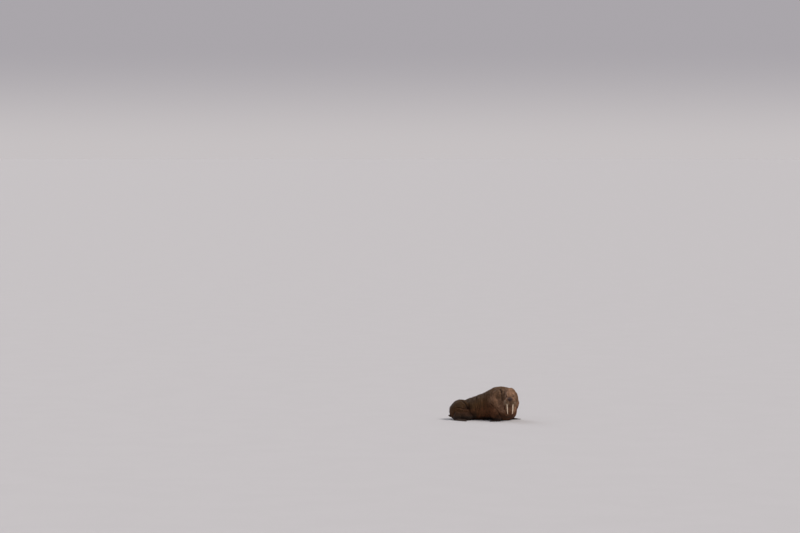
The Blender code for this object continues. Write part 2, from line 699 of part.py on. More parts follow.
def main():
    clear_scene()
    model = new_collection("Walrus")
    pieces = new_collection("Masses")
    tools = new_collection("Cutters")
    loft("trunk", SPINE, pieces, sides=SPINE_SIDES, steps=SPINE_STEPS, shaped=trunk_folds)
    body_masses(pieces)
    head_masses(pieces)
    for side in (1, -1):
        foreflipper_masses(side, pieces)
        hindflipper_masses(side, pieces)
    torso = fused(pieces, model)
    block("floor", Matrix.Identity(4), (-FAR, -FAR, -FAR), (FAR, FAR, 0), tools)
    boolean(torso, tools, "DIFFERENCE")
    open_face(torso, model, tools)
    tusks(torso, model, tools)
    found = parted(torso, model, tools)
    whiskers(found["muzzle"], [o for o in model.objects if o.name.startswith("tusk")], tools)
    for side, word in ((1, "left"), (-1, "right")):
        hand = found["foreflipper_" + word]
        claws(hand, hand_frame(side), hand_digits(side), FORE_SPREAD, FORE_THICK, tools)
        foot = found["hindflipper_" + word]
        claws(foot, foot_frame(side), HIND_DIGITS[::side], HIND_SPREAD, HIND_THICK, tools)
    for obj in model.objects:
        if obj.name.startswith("tusk"):
            paint(obj, "ivory", IVORY, 0.35)
        elif obj.name.startswith("eye"):
            paint(obj, "eye", EYE_DARK, 0.08)
        elif obj.name.startswith(("fore", "hind")):
            paint(obj, "bare_skin", BARE_SKIN, 0.6)
        elif obj.name in ("head", "muzzle", "jaw"):
            paint(obj, "face_hide", FACE_HIDE, 0.65)
        else:
            paint(obj, "hide", HIDE, 0.7)
    centred(model.objects)


main()
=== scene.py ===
"""Dresses a life-size walrus at rest in folded hide, with eyes, tusks, whiskers, claws and short hair."""

import json
import math

import bpy
import numpy as np
from bpy.props import FloatProperty, FloatVectorProperty, IntProperty, PointerProperty
from bpy.types import Operator, Panel, PropertyGroup
from mathutils import Matrix, Vector
from mathutils.bvhtree import BVHTree

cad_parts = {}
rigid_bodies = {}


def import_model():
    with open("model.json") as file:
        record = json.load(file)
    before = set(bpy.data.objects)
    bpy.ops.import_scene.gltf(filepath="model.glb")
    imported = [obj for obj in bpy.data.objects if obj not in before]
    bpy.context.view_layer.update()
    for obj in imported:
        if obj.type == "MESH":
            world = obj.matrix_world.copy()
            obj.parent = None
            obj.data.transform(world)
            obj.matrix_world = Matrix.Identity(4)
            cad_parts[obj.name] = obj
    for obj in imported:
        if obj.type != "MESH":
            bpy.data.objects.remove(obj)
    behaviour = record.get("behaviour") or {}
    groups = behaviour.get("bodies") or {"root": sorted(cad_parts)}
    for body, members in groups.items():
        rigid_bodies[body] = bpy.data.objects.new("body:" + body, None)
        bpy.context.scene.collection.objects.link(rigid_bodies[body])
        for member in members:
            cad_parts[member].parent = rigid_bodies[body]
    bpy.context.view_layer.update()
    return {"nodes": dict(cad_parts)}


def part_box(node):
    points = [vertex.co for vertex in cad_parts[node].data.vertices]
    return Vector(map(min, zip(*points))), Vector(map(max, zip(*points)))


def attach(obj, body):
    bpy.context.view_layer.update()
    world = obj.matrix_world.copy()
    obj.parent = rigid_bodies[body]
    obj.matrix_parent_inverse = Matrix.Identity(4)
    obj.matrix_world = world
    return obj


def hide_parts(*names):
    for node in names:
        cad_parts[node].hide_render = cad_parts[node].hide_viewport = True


bl_info = {
    "name": "Walrus",
    "version": (1, 0, 0),
    "blender": (4, 5, 0),
    "location": "3D View > Sidebar > Walrus",
    "description": "Builds the skin, eyes, tusks, whiskers, claws and coat of a resting walrus",
    "category": "Add Mesh",
}

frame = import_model()

BODY = "root"
FLIPPERS = ("foreflipper_left", "foreflipper_right", "hindflipper_left", "hindflipper_right")
FLESH = ("head", "muzzle", "jaw", "neck", "chest", "torso", "rump", "tail", *FLIPPERS)
SIDES = {"left": 1, "right": -1}
# How far round the head's middle the skin is smoothed less and meshed finer, and round an eye finer still
HEAD_KEPT, HEAD_FINE, EYE_FINE = 0.27, 0.30, 0.048
ROUND = 0.42  # metres round the body that a turn by one radian takes
FLOOR_GAP = 0.0005  # how far skin and tusks stay above the floor

# The pose's origin, on the floor
ORIGIN = Vector((-0.0282, 0.0339, 0.0))
# Where head and chest lie from there, and how they are turned, in degrees
HEAD_AT, HEAD_TURN, HEAD_NOD = Vector((1.000, -0.570, 0.865)), -80.0, -30.0
CHEST_AT, CHEST_TURN = Vector((0.625, 0.045, 0.0)), -50.0

# The line inside the trunk, neck and head, from the tail to the nose
SPINE = (
    (-1.165, -0.108, 0.200),
    (-1.010, -0.076, 0.265),
    (-0.825, -0.044, 0.335),
    (-0.632, 0.010, 0.360),
    (-0.438, 0.065, 0.385),
    (-0.176, 0.131, 0.425),
    (0.090, 0.178, 0.465),
    (0.360, 0.145, 0.535),
    (0.601, 0.045, 0.640),
    (0.780, -0.108, 0.735),
    (0.885, -0.251, 0.800),
    (0.945, -0.382, 0.830),
    (0.985, -0.530, 0.835),
    (1.020, -0.680, 0.760),
    (1.035, -0.770, 0.690),
)

# In the head's frame: X looks out of the face, Y is the animal's left, Z is up out of the forehead
EYE_WAY = (0.317, 0.926, 0.202)
NOSTRIL_AT, NOSTRIL_WAY = (0.232, 0.040, 0.0386), (0.904, 0.199, 0.380)
EAR_AT = (-0.150, 0.1755, 0.010)
PAD_AT = (0.182, 0.084, -0.078)
MOUTH_HIGH = -0.150
HEAD_MIDDLE, FACE_MIDDLE = (0.05, 0.0, -0.06), (0.03, 0.0, -0.06)
EYE_LOOK = 0.012  # from the middle of an eye to the middle of the bare skin round it

# Middles and half sizes of parts of the head, in its frame, and of the armpit, in the chest's
BROW = ((0.0, 0.0, 0.06), (0.19, 0.17, 0.14))
ROUND_HEAD = ((-0.08, 0.0, 0.0), (0.40, 0.40, 0.34))
# The nose patch is dark nose skin, and where it reaches up over the bridge it is painted shade under the brow
NOSE = ((0.225, 0.0, 0.030), (0.085, 0.092, 0.062))
BRIDGE = ((0.10, 0.0, 0.06), (0.10, 0.11, 0.06))
ARMPIT = ((0.10, 0.46, 0.36), (0.24, 0.24, 0.36))

# Rounded forms of the muzzle, in the head's frame: centre, half sizes, turn in degrees, and 1 or 2 of it
MUZZLE_FORMS = (
    ((0.080, 0.0, -0.050), (0.160, 0.140, 0.112), (0, 4, 0), 1),
    ((0.085, 0.0, 0.022), (0.170, 0.074, 0.054), (0, 8, 0), 1),
    ((0.196, 0.0, 0.004), (0.068, 0.086, 0.056), (0, 24, 0), 1),
    ((0.212, 0.0, -0.080), (0.056, 0.060, 0.080), (0, 0, 0), 1),
    ((0.045, 0.0, -0.150), (0.160, 0.090, 0.055), (0, 0, 0), 1),
    (PAD_AT, (0.092, 0.106, 0.114), (14, 18, 12), 2),
    ((0.110, 0.104, -0.122), (0.092, 0.066, 0.072), (0, 0, 0), 2),
)

# In a frame that stands upright under the head
TUSK_ROOT = (0.112, 0.106, -0.110)
TUSK_LENGTH, TUSK_SWEEP, TUSK_TOE_IN = 0.490, 0.050, 0.027
TUSK_HALF_WIDE, TUSK_HALF_DEEP = 0.0250, 0.0295

# Flippers: where the fan of digits starts, its heading, digit lengths from its left edge, spread, half width
# at the roots of the digits
FANS = (
    ((0.790, 0.283), 58.0, (0.280, 0.330, 0.370, 0.395, 0.400), 56.0, 0.090),
    ((0.630, -0.386), -172.0, (0.400, 0.395, 0.370, 0.330, 0.280), 56.0, 0.090),
    ((-1.123, 0.258), 41.0, (0.600, 0.530, 0.490, 0.510, 0.570), 38.0, 0.085),
    ((-0.979, -0.369), -15.0, (0.570, 0.510, 0.490, 0.530, 0.600), 38.0, 0.085),
)
DIGITS_APART = 1.05  # share of that half width over which the digits' roots stand

# Large creases of the hide: depth, width, and points on each, as metres along the body and the angle from its
# top, below 0 on the right
CREASES = (
    (0.034, 0.032, ((0.46, -0.30), (0.58, -1.03), (0.63, -1.44), (0.71, -1.87), (0.83, -2.45))),
    (0.018, 0.020, ((0.26, -1.20), (0.36, -1.27), (0.465, -1.45), (0.60, -1.60))),
    (0.015, 0.019, ((0.88, 0.90), (0.84, 0.20), (0.80, -0.66), (0.74, -1.62), (0.78, -2.30))),
    (0.017, 0.020, ((1.03, 0.30), (1.00, -0.37), (0.97, -1.35), (1.02, -2.20))),
    (0.012, 0.017, ((1.19, 0.40), (1.17, -0.80), (1.12, -1.90))),
    (0.017, 0.020, ((1.42, 0.50), (1.37, -0.50), (1.33, -1.37), (1.24, -2.10))),
    (0.015, 0.019, ((1.62, 0.70), (1.56, -0.51), (1.54, -1.49), (1.50, -2.10))),
    (0.034, 0.034, ((0.48, 0.25), (0.57, 1.00), (0.64, 1.50), (0.70, 1.90), (0.80, 2.40))),
    (0.016, 0.022, ((0.24, 1.25), (0.38, 1.30), (0.48, 1.50), (0.60, 1.75))),
    (0.014, 0.022, ((0.98, 0.50), (0.91, 1.20), (0.88, 1.75), (0.93, 2.40))),
    (0.016, 0.024, ((1.24, 0.05), (1.17, 0.75), (1.13, 1.35), (1.16, 2.30))),
    (0.014, 0.022, ((1.52, 0.20), (1.44, 0.90), (1.40, 1.60), (1.44, 2.20))),
    (0.013, 0.022, ((1.86, 0.10), (1.74, 0.80), (1.70, 1.40), (1.74, 1.90))),
)

# The hollow in front of either knee: metres along the body, angle round it, half width and depth
# The knee hollows are also painted dark with the crease colour, as painted shade
KNEE_AT, KNEE_TURN, KNEE_HALF, KNEE_DEPTH = 0.600, 1.42, 0.118, 0.068

# Creases of arm, chest and nape, on the right, as places on the skin; the left side has their mirror image
CHEST_CREASES = (
    (
        0.044,
        0.038,
        (
            (0.540, -0.120, 1.060),
            (0.595, -0.200, 1.035),
            (0.640, -0.320, 0.985),
            (0.658, -0.410, 0.889),
            (0.678, -0.425, 0.790),
            (0.680, -0.424, 0.687),
            (0.691, -0.398, 0.617),
        ),
    ),
    (
        0.032,
        0.024,
        (
            (0.230, -0.315, 0.645),
            (0.292, -0.376, 0.575),
            (0.402, -0.417, 0.478),
            (0.508, -0.435, 0.380),
            (0.573, -0.413, 0.277),
            (0.633, -0.358, 0.172),
        ),
    ),
    (
        0.022,
        0.020,
        (
            (0.707, -0.391, 0.583),
            (0.738, -0.370, 0.514),
            (0.769, -0.349, 0.411),
            (0.795, -0.302, 0.306),
            (0.825, -0.277, 0.202),
        ),
    ),
)

# The pale swelling from the shoulder down to the breast, in the chest's frame
SHOULDER_LINE = ((0.10, 0.53, 0.72), (0.30, 0.38, 0.68), (0.33, 0.35, 0.55), (0.44, 0.22, 0.36))

# The markings that skin and hair carry; some of them paint light or shade
MARKS = ("pale", "rosy", "bare", "nose", "weathered", "damp")

# Cells of the skin's relief: metres along the body, and twice round it; and the width of its knobs
FOLD_CELL = (0.115, 0.50, 0.50)
WRINKLE_CELL = (0.042, 0.17, 0.17)
LINE_CELL = (0.020, 0.060, 0.060)
KNOB_CELL = 0.034
TOE_CELL = 0.030

# Half the opening between the lids, and its height above and below the middle; the slit of a nostril; the ear
EYE_WIDE, EYE_ABOVE, EYE_BELOW = 0.0172, 0.0108, 0.0092
NOSTRIL_WIDE, NOSTRIL_TALL = 0.0062, 0.0185
EAR_WIDE, EAR_TALL = 0.0065, 0.012

# Rings that round a tusk's tip: how far each lies below the one before, and its share of that one's size
TIP_RINGS = ((0.0035, 0.90), (0.0028, 0.78), (0.0016, 0.50))
TUSK_STEPS = 44

# Swing and tilt of the first whisker on a lip pad, how far the others fan out, and how much each may stray
WHISKER_START, WHISKER_FAN, WHISKER_STRAY = (-30, -44), (118, 88), 2.5
WHISKER_RINGS = 8
WHISKER_SEED, COAT_SEED = 5, 12

# A claw's rings: how high each lies over the skin, and all their half widths from the root inside it
CLAW_LIFTS = (0.0016, 0.0030, 0.0034, 0.0026, 0.0004)
CLAW_WIDTHS = (0.0040, 0.0056, 0.0055, 0.0046, 0.0030, 0.0)
CLAW_STEPS = len(CLAW_LIFTS) - 1

COAT_SPLIT = 1.62  # metres along the body where the back half of the coat ends
HAIR_SINK = 0.0012  # how deep a hair's root sits in the skin
BAKE_PATCH = 0.003  # share of the map that one hair takes

# The view: focal length and width in pixels, and the width in millimetres that the lens is stated for
FOCAL, VIEW_WIDE, SENSOR = 3075, 800, 36
# Pixels from the middle of the view up to eye level, and right to the animal
LEVEL_UP, AIM_RIGHT = 114.5, 84
# The camera's turn and height in degrees, and how far past the pose's origin it aims, in metres
CAMERA_TURN, CAMERA_HEIGHT, AIM_PAST = 10.0, 5.0, -0.35
VIEW_FAR = 10000  # metres
FLOOR_RADIUS = 4000.0  # metres, so that its rim is far behind the animal

# Suns: name, azimuth and height in degrees, share of the key's strength, angle across in degrees and tint
SUNS = (
    ("key", 84.0, 54.0, 1.0, 26.0, (1.0, 0.93, 0.86)),
    ("fill", -130.0, 35.0, 0.32, 40.0, (0.92, 0.95, 1.0)),
)


def placed(origin, heading, pitch=0.0):
    """A frame whose X looks along the heading and pitch, in degrees, with Y to its left."""
    turned = Matrix.Rotation(math.radians(heading), 4, "Z") @ Matrix.Rotation(math.radians(-pitch), 4, "Y")
    return Matrix.Translation(origin) @ turned


HEAD = placed(ORIGIN + HEAD_AT, HEAD_TURN, HEAD_NOD)
FACE = placed(ORIGIN + HEAD_AT, HEAD_TURN)
CHEST = placed(ORIGIN + CHEST_AT, CHEST_TURN)


def length(name, description, default):
    return FloatProperty(name=name, description=description, default=default, min=0, unit="LENGTH")


def whole(name, description, default):
    return IntProperty(name=name, description=description, default=default, min=1)


class WalrusSizes(PropertyGroup):
    coat_depth: length("Coat depth", "How far the skin lies inside the flesh", 0.003)
    mesh_size: length("Mesh size", "Spacing of the skin's mesh before it is thinned", 0.006)
    skin_triangles: whole("Skin triangles", "How many the thinned skin keeps", 192000)
    fold_depth: length("Fold depth", "Depth of the large skin folds", 0.020)
    wrinkle_depth: length("Wrinkle depth", "Depth of the wrinkles between the folds", 0.006)
    knob_height: length("Knob height", "Height of the knobs on neck and shoulders", 0.005)
    whisker_rows: whole("Whisker rows", "Rows on each lip pad", 11)
    whiskers_a_row: whole("Whiskers a row", "Whiskers in each row", 15)
    whisker_length: length("Whisker length", "Length of the longest whiskers", 0.115)
    whisker_width: length("Whisker width", "Thickness of a whisker at its root", 0.0026)
    claw_length: length("Claw length", "Length of a claw", 0.026)
    hairs: whole("Hairs", "Hairs in each half of the coat", 46000)
    hair_length: length("Hair length", "Longest body hair", 0.014)


def colour(name, description, default):
    return FloatVectorProperty(
        name=name, description=description, default=default, subtype="COLOR", size=3, min=0, max=1
    )


class WalrusColours(PropertyGroup):
    hide: colour("Hide", "Brown of the trunk", (0.070, 0.037, 0.014))
    shaded: colour("Dark hide", "Darker blotches of the trunk", (0.036, 0.020, 0.010))
    rosy: colour("Reddish hide", "Thin skin in armpits and folds", (0.165, 0.064, 0.028))
    # Also painted light: on the nape where it faces up, and on a band across the chest's front
    pale: colour("Pale hide", "Forehead, cheeks and neck", (0.340, 0.196, 0.120))
    bare: colour("Bare skin", "Flippers", (0.038, 0.026, 0.020))
    # Also painted shade under the brow, where the nose patch reaches up over the bridge
    nose: colour("Nose", "Skin round the nostrils", (0.055, 0.028, 0.021))
    # Dust and painted sheen: a greyer tone where the back faces up
    weathered: colour("Dusty hide with painted sheen", "Grey bloom and painted sheen on the back", (0.070, 0.047, 0.029))
    # Painted shade on the low parts, which also get a wet gloss
    damp: colour("Damp hide with painted shade", "Low parts, wet and painted with shade", (0.034, 0.018, 0.011))
    # Painted shade: the dark colour laid into creases, hollows and the cracks of the grain
    crease: colour("Creases", "Bottom of folds and wrinkles", (0.013, 0.006, 0.004))
    hair: colour("Hair tips", "Short hair that catches the light", (0.115, 0.068, 0.034))
    ivory: colour("Ivory", "Tusks", (0.950, 0.770, 0.560))
    stain: colour("Tusk stain", "Cracks and roots of the tusks", (0.230, 0.120, 0.055))
    horn: colour("Whiskers", "Horn of the whiskers", (0.400, 0.270, 0.160))
    claw: colour("Claws", "Horn of the claws", (0.048, 0.034, 0.025))
    iris: colour("Iris", "Brown of the eye", (0.036, 0.014, 0.008))
    sclera: colour("White of the eye", "Reddish rim of the eyeball", (0.100, 0.034, 0.024))


class WalrusStage(PropertyGroup):
    floor: colour("Floor", "Plain pale floor", (0.480, 0.480, 0.494))
    sky: colour("Backdrop", "Plain backdrop and soft light from all round", (0.400, 0.380, 0.405))
    haze: colour("Haze", "Foot of the backdrop, where it meets the floor", (0.565, 0.535, 0.542))
    key_strength: FloatProperty(name="Key light", description="Strength of the soft key light", default=2.5)
    scale: length("Picture scale", "Length that one pixel spans at the walrus", 0.034)


def mode(name):
    bpy.ops.object.mode_set(mode=name)


def deselect():
    if bpy.context.object and bpy.context.object.mode != "OBJECT":
        mode("OBJECT")
    bpy.ops.object.select_all(action="DESELECT")


def choose(*objects):
    """Selects only these objects, the first one active."""
    deselect()
    for obj in objects:
        obj.select_set(True)
    bpy.context.view_layer.objects.active = objects[0]


def joined(name, objects):
    """One object, at the origin, from several."""
    choose(*objects)
    bpy.ops.object.transform_apply(location=True, rotation=True, scale=True)
    bpy.ops.object.join()
    piece = bpy.context.object
    piece.name = piece.data.name = name
    return piece


def merged_copy(node):
    """A loose copy of one of the frame's nodes, with its triangles merged."""
    choose(frame["nodes"][node])
    bpy.ops.object.duplicate()
    copy = bpy.context.object
    bpy.ops.object.parent_clear(type="CLEAR")
    for key in list(copy.keys()):
        del copy[key]
    copy.data.materials.clear()
    mode("EDIT")
    bpy.ops.mesh.select_all(action="SELECT")
    bpy.ops.mesh.remove_doubles(threshold=1e-5)
    mode("OBJECT")
    return copy


def modify(piece, kind, **settings):
    """Adds a modifier with these settings and applies it."""
    choose(piece)
    step = piece.modifiers.new(kind.title(), kind)
    for name, value in settings.items():
        setattr(step, name, value)
    bpy.ops.object.modifier_apply(modifier=step.name)


def select_faces(piece, chosen):
    """Selects the faces that an array marks, and goes into edit mode."""
    choose(piece)
    bpy.context.tool_settings.mesh_select_mode = (False, False, True)
    mode("EDIT")
    bpy.ops.mesh.select_all(action="DESELECT")
    mode("OBJECT")
    piece.data.polygons.foreach_set("select", chosen)
    mode("EDIT")


def numbers(rows, field, kind=float, size=3):
    """One field of all the vertices, edges, corners or faces of a mesh."""
    found = np.empty(len(rows) * size, kind)
    rows.foreach_get(field, found)
    return found.reshape(-1, size) if size > 1 else found


def places(piece):
    return numbers(piece.data.vertices, "co")


def slopes(piece):
    """The normal at each vertex."""
    return numbers(piece.data.vertices, "normal")


def face_middles(piece):
    return numbers(piece.data.polygons, "center")


def reshape(piece, points):
    piece.data.vertices.foreach_set("co", points.ravel())
    piece.data.update()


def inside(frame_matrix, points):
    """Points of the row's frame, read in another frame."""
    turned = np.array(frame_matrix.inverted())
    return points @ turned[:3, :3].T + turned[:3, 3]


def turned_out(frame_matrix, points):
    """Points of another frame, read in the row's frame."""
    turned = np.array(frame_matrix)
    return points @ turned[:3, :3].T + turned[:3, 3]


def ease(values, low, high):
    """0 below low, 1 above high, and smooth between them; the other way round if low is above high."""
    part = np.clip((values - low) / (high - low), 0, 1)
    return part * part * (3 - 2 * part)


def bell(values, width):
    return np.exp(-((values / width) ** 2))


def blob(points, middle, half):
    """1 in the middle of an ellipsoid, fading to 0 past its half sizes."""
    return np.exp(-np.sum(((points - middle) / half) ** 2, axis=1))


def away(points, place):
    """How far each point is from one place."""
    return np.linalg.norm(points - np.array(place), axis=1)


# Numbers that tell the noise's cells and seeds apart, and the ways its slope can point in a cell's corner
CELL_KEYS, SEED_KEY, STIR_KEY = (73856093, 19349663, 83492791), 15485863, 1274126177
STEPS = (-1, 0, 1)
GRADIENTS = np.array(
    [(x, y, z) for x in STEPS for y in STEPS for z in STEPS if abs(x) + abs(y) + abs(z) == 2]
)


def noise(points, seed=0):
    """Smooth noise from about -1 to 1 at each point, the same at each run, with cells one unit wide."""
    cell = np.floor(points).astype(np.int64)
    part = points - cell
    eased = part**3 * (part * (part * 6 - 15) + 10)
    total = np.zeros(len(points))
    for corner in range(8):
        step = np.array((corner & 1, corner >> 1 & 1, corner >> 2 & 1))
        key = (cell + step) @ np.array(CELL_KEYS) + seed * SEED_KEY
        key = (key ^ (key >> 13)) * STIR_KEY & 0xFFFFFFFF
        key ^= key >> 16
        share = np.prod(np.where(step == 1, eased, 1 - eased), axis=1)
        total += share * np.sum(GRADIENTS[key % len(GRADIENTS)] * (part - step), axis=1)
    return total


def puffed(points, seed=0, octaves=2):
    """Rounded rolls with sharp creases between them, from 0 in a crease to about 1."""
    total = np.zeros(len(points))
    for octave in range(octaves):
        total += np.abs(noise(points * 2.0**octave, seed + octave)) ** 0.75 * 0.55**octave
    return np.clip(total * 1.5, 0, 1.2)


def spine_marks():
    """Points along the spine's line, each with its distance from the tail and the way to the nose."""
    line = [Vector(p) + ORIGIN for p in SPINE]
    marks, walked = [], 0.0
    for start, end in zip(line, line[1:]):
        long, way = (end - start).length, (end - start).normalized()
        marks += [(walked + long * k / 6, start.lerp(end, k / 6), way) for k in range(6)]
        walked += long
    return marks, walked


SPINE_MARKS, SPINE_LENGTH = spine_marks()


def along_body(points):
    """For each point: metres along the body from the tail, the angle round it, and the way to the nose."""
    total = np.zeros(len(points))
    along, centre, way = np.zeros(len(points)), np.zeros((len(points), 3)), np.zeros((len(points), 3))
    for walked, place, ahead in SPINE_MARKS:
        offset = points - np.array(place)
        near = np.sum(offset * offset, axis=1) ** -3.0
        total += near
        along += near * (walked + offset @ np.array(ahead) * 0.5)
        centre += near[:, None] * np.array(place)
        way += near[:, None] * np.array(ahead)
    along, centre, way = along / total, centre / total[:, None], way / total[:, None]
    way /= np.linalg.norm(way, axis=1)[:, None]
    across = np.cross((0.0, 0.0, 1.0), way)
    across /= np.linalg.norm(across, axis=1)[:, None]
    over = np.cross(way, across)
    left, high = np.sum((points - centre) * across, axis=1), np.sum((points - centre) * over, axis=1)
    return along, np.arctan2(left, high), way


HEAD_ALONG = along_body(np.array([HEAD.translation]))[0][0]


def unrolled(along, angle):
    """Coordinates along the body and round it, without a seam, and near those of the face at the head."""
    return np.column_stack((along - HEAD_ALONG, ROUND * np.sin(angle), ROUND * np.cos(angle)))


def crease_gap(coordinates, marks):
    """How far each point is from a line of marks, and from the nearer end of that line, measured along it."""
    gap, walked, before = np.full(len(coordinates), 9.0), np.zeros(len(coordinates)), 0.0
    for start, end in zip(marks, marks[1:]):
        step = end - start
        part = np.clip((coordinates - start) @ step / (step @ step), 0, 1)
        off = np.linalg.norm(coordinates - start - part[:, None] * step, axis=1)
        nearer = off < gap
        gap[nearer] = off[nearer]
        walked[nearer] = before + part[nearer] * np.linalg.norm(step)
        before += np.linalg.norm(step)
    return gap, np.minimum(walked, before - walked)


def laid_on(points, marks):
    """A line of marks in space, set on the nearest of the points at short steps."""
    line = []
    for start, end in zip(marks, marks[1:]):
        line += [np.array(start) + (np.array(end) - start) * k / 5 for k in range(5)]
    line.append(np.array(marks[-1]))
    return [points[np.argmin(np.sum((points - mark) ** 2, axis=1))] for mark in line]


def crease_share(points, along, angle):
    """How deep the large creases are at each point, with a rounded swelling on both sides of each."""
    sunk = np.zeros(len(along))
    flat = np.column_stack((along, ROUND * angle))
    shift = 0.5 * noise(points / 0.12, 14) + 0.25 * noise(points / 0.05, 15)
    lines = []
    for deep, wide, marks in CREASES:
        lines.append((deep, wide, flat, [np.array((station, ROUND * turn)) for station, turn in marks]))
    for deep, wide, marks in CHEST_CREASES:
        right = np.array(marks)
        left = turned_out(CHEST, inside(CHEST, right) * (1, -1, 1))
        lines += [(deep, wide, points, laid_on(points, side)) for side in (right, left)]
    for deep, wide, coordinates, marks in lines:
        gap, end = crease_gap(coordinates, marks)
        gap = np.abs(gap + wide * shift * ease(gap, 0.0, wide))
        fade = ease(gap, 3.6 * wide, 2.6 * wide) * ease(end, -0.01, 0.11)
        sunk += deep * (np.exp(-gap / (0.62 * wide)) - 0.42 * bell(gap - 1.9 * wide, 1.1 * wide)) * fade
    return sunk


def knee_share(along, angle):
    """1 in the middle of the hollow in front of either knee, fading to 0 round it."""
    return bell(np.hypot(along - KNEE_AT, ROUND * (np.abs(angle) - KNEE_TURN)), KNEE_HALF)


def tree_of(mesh):
    return BVHTree.FromPolygons([v.co for v in mesh.vertices], [tuple(p.vertices) for p in mesh.polygons])


def flipper_share(points, nodes=FLIPPERS):
    """1 on the flippers, fading to 0 a little way up the body."""
    share = np.zeros(len(points))
    for node in nodes:
        flesh = frame["nodes"][node].data
        tree = tree_of(flesh)
        low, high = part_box(node)
        near = np.all((points > np.array(low) - 0.08) & (points < np.array(high) + 0.08), axis=1)
        for i in np.nonzero(near)[0]:
            gap = tree.find_nearest(Vector(points[i]), 0.09)[3]
            if gap is not None:
                share[i] = max(share[i], 1 - max(gap - 0.014, 0) / 0.07)
    return share * share * (3 - 2 * share)


def markings(points, normals):
    """The share of each marking at each point, from 0 to 1."""
    along, high = along_body(points)[0], points[:, 2]
    face, chest = inside(HEAD, points), inside(CHEST, points)
    patchy = noise(points / 0.11, 3) * 0.5 + noise(points / 0.04, 4) * 0.3
    feet, hands = flipper_share(points, FLIPPERS[2:]), flipper_share(points, FLIPPERS[:2])
    bare = np.maximum(feet * ease(high, 0.23, 0.09), hands * ease(high, 0.15, 0.05))

    forward = ease(along, 1.25, 2.35)
    brow, round_head, nose = blob(face, *BROW), blob(face, *ROUND_HEAD), blob(face, *NOSE)
    pads = ease(away(np.abs(face), PAD_AT), 0.16, 0.10) * (face[:, 0] > 0)
    # Painted light: the nape is paler where it faces up
    nape = forward * (0.55 + 0.45 * ease(normals[:, 2], -0.4, 0.8)) * ease(high, 0.50, 0.95)
    sided = np.column_stack((chest[:, 0], np.abs(chest[:, 1]), chest[:, 2]))
    shoulder = bell(crease_gap(sided, [np.array(spot) for spot in SHOULDER_LINE])[0], 0.115)
    front = ease(chest[:, 0], 0.20, 0.42)
    pale = 0.78 * brow + 0.34 * round_head + 0.32 * nape + 0.90 * pads + 0.22 * patchy * forward
    # Painted light: a paler band across the chest's front, from about 0.3 to 0.8 m up
    pale += 0.72 * shoulder + 0.38 * front * ease(high, 0.24, 0.40) * ease(high, 0.90, 0.70)

    armpit = blob(np.abs(chest), *ARMPIT)
    armpit = np.maximum(armpit, 0.8 * bell(along - 1.22, 0.26) * ease(high, 0.56, 0.30))
    breast = ease(chest[:, 0], 0.16, 0.40) * ease(high, 0.75, 0.35)
    flank = bell(along - 0.62, 0.16) * ease(high, 0.60, 0.15)
    belly = ease(high, 0.56, 0.20)
    rosy = 0.9 * armpit + 0.75 * breast + 0.6 * flank + 0.45 * belly + 0.50 * pads + 0.35 * patchy

    for word in SIDES:
        centre, radius, way = eye_of(word)
        nose = nose + 0.75 * ease(away(points, centre + way * radius), 0.038, 0.018)
    nose = np.clip(nose * 1.5, 0, 1)
    # Partly dust, partly painted sheen: greyer where the skin faces up, high on the body
    weathered = ease(normals[:, 2], 0.25, 0.95) * ease(high, 0.35, 0.80) * np.clip(0.55 + patchy, 0, 1)
    # Painted shade: darker low down, at the foot of the chest's front and low on the hind flippers
    damp = 0.40 * ease(high + 0.04 * patchy, 0.12, 0.01)
    damp = np.maximum(damp, 0.7 * front * ease(high + 0.05 * patchy, 0.34, 0.14))
    damp = np.maximum(damp, 0.9 * feet * ease(high + 0.04 * patchy, 0.36, 0.20))
    return {
        "pale": np.clip(pale, 0, 1) * (1 - bare) * (1 - nose),
        "rosy": np.clip(rosy, 0, 1) * (1 - bare),
        "bare": bare,
        "nose": nose,
        "weathered": weathered * (1 - bare) * (1 - brow),
        "damp": damp * (1 - bare),
    }


def write_marks(piece, values):
    """Keeps each array as an attribute of the piece's mesh."""
    for name, shares in values.items():
        layer = piece.data.attributes.new(name, "FLOAT", "POINT")
        layer.data.foreach_set("value", np.asarray(shares, np.float32))


def looking(centre, way):
    """A frame at the centre whose X looks along the way, with Z as upright as it can be."""
    return Matrix.Translation(centre) @ Vector(way).to_track_quat("X", "Z").to_matrix().to_4x4()


def head_way(way, side):
    return (HEAD.to_3x3() @ Vector((way[0], way[1] * side, way[2]))).normalized()


def head_place(place, side=1):
    return HEAD @ Vector((place[0], place[1] * side, place[2]))


def eye_of(word):
    """The centre, radius and outward way of an eyeball."""
    low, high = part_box("eye_" + word)
    return (low + high) / 2, (high[0] - low[0]) / 2, head_way(EYE_WAY, SIDES[word])


def tusk_line(side, steps):
    """Middles and half sizes down a tusk, from its root."""
    found = []
    for i in range(steps + 1):
        along = i / steps
        x = TUSK_ROOT[0] + 0.018 * math.sin(math.pi * along) - TUSK_SWEEP * along**1.7
        y = (TUSK_ROOT[1] - TUSK_TOE_IN * along**1.2) * side
        shrink = 1 - 0.30 * along - 0.28 * along**4
        place = FACE @ Vector((x, y, TUSK_ROOT[2] - TUSK_LENGTH * along))
        found.append((place, TUSK_HALF_WIDE * shrink, TUSK_HALF_DEEP * shrink))
    return found


def tusk_gap(points):
    """How far each point is from the nearer tusk's surface."""
    gap = np.full(len(points), 9.0)
    for side in SIDES.values():
        for place, wide, deep in tusk_line(side, 40):
            gap = np.minimum(gap, np.linalg.norm(points - np.array(place), axis=1) - (wide + deep) / 2)
    return gap


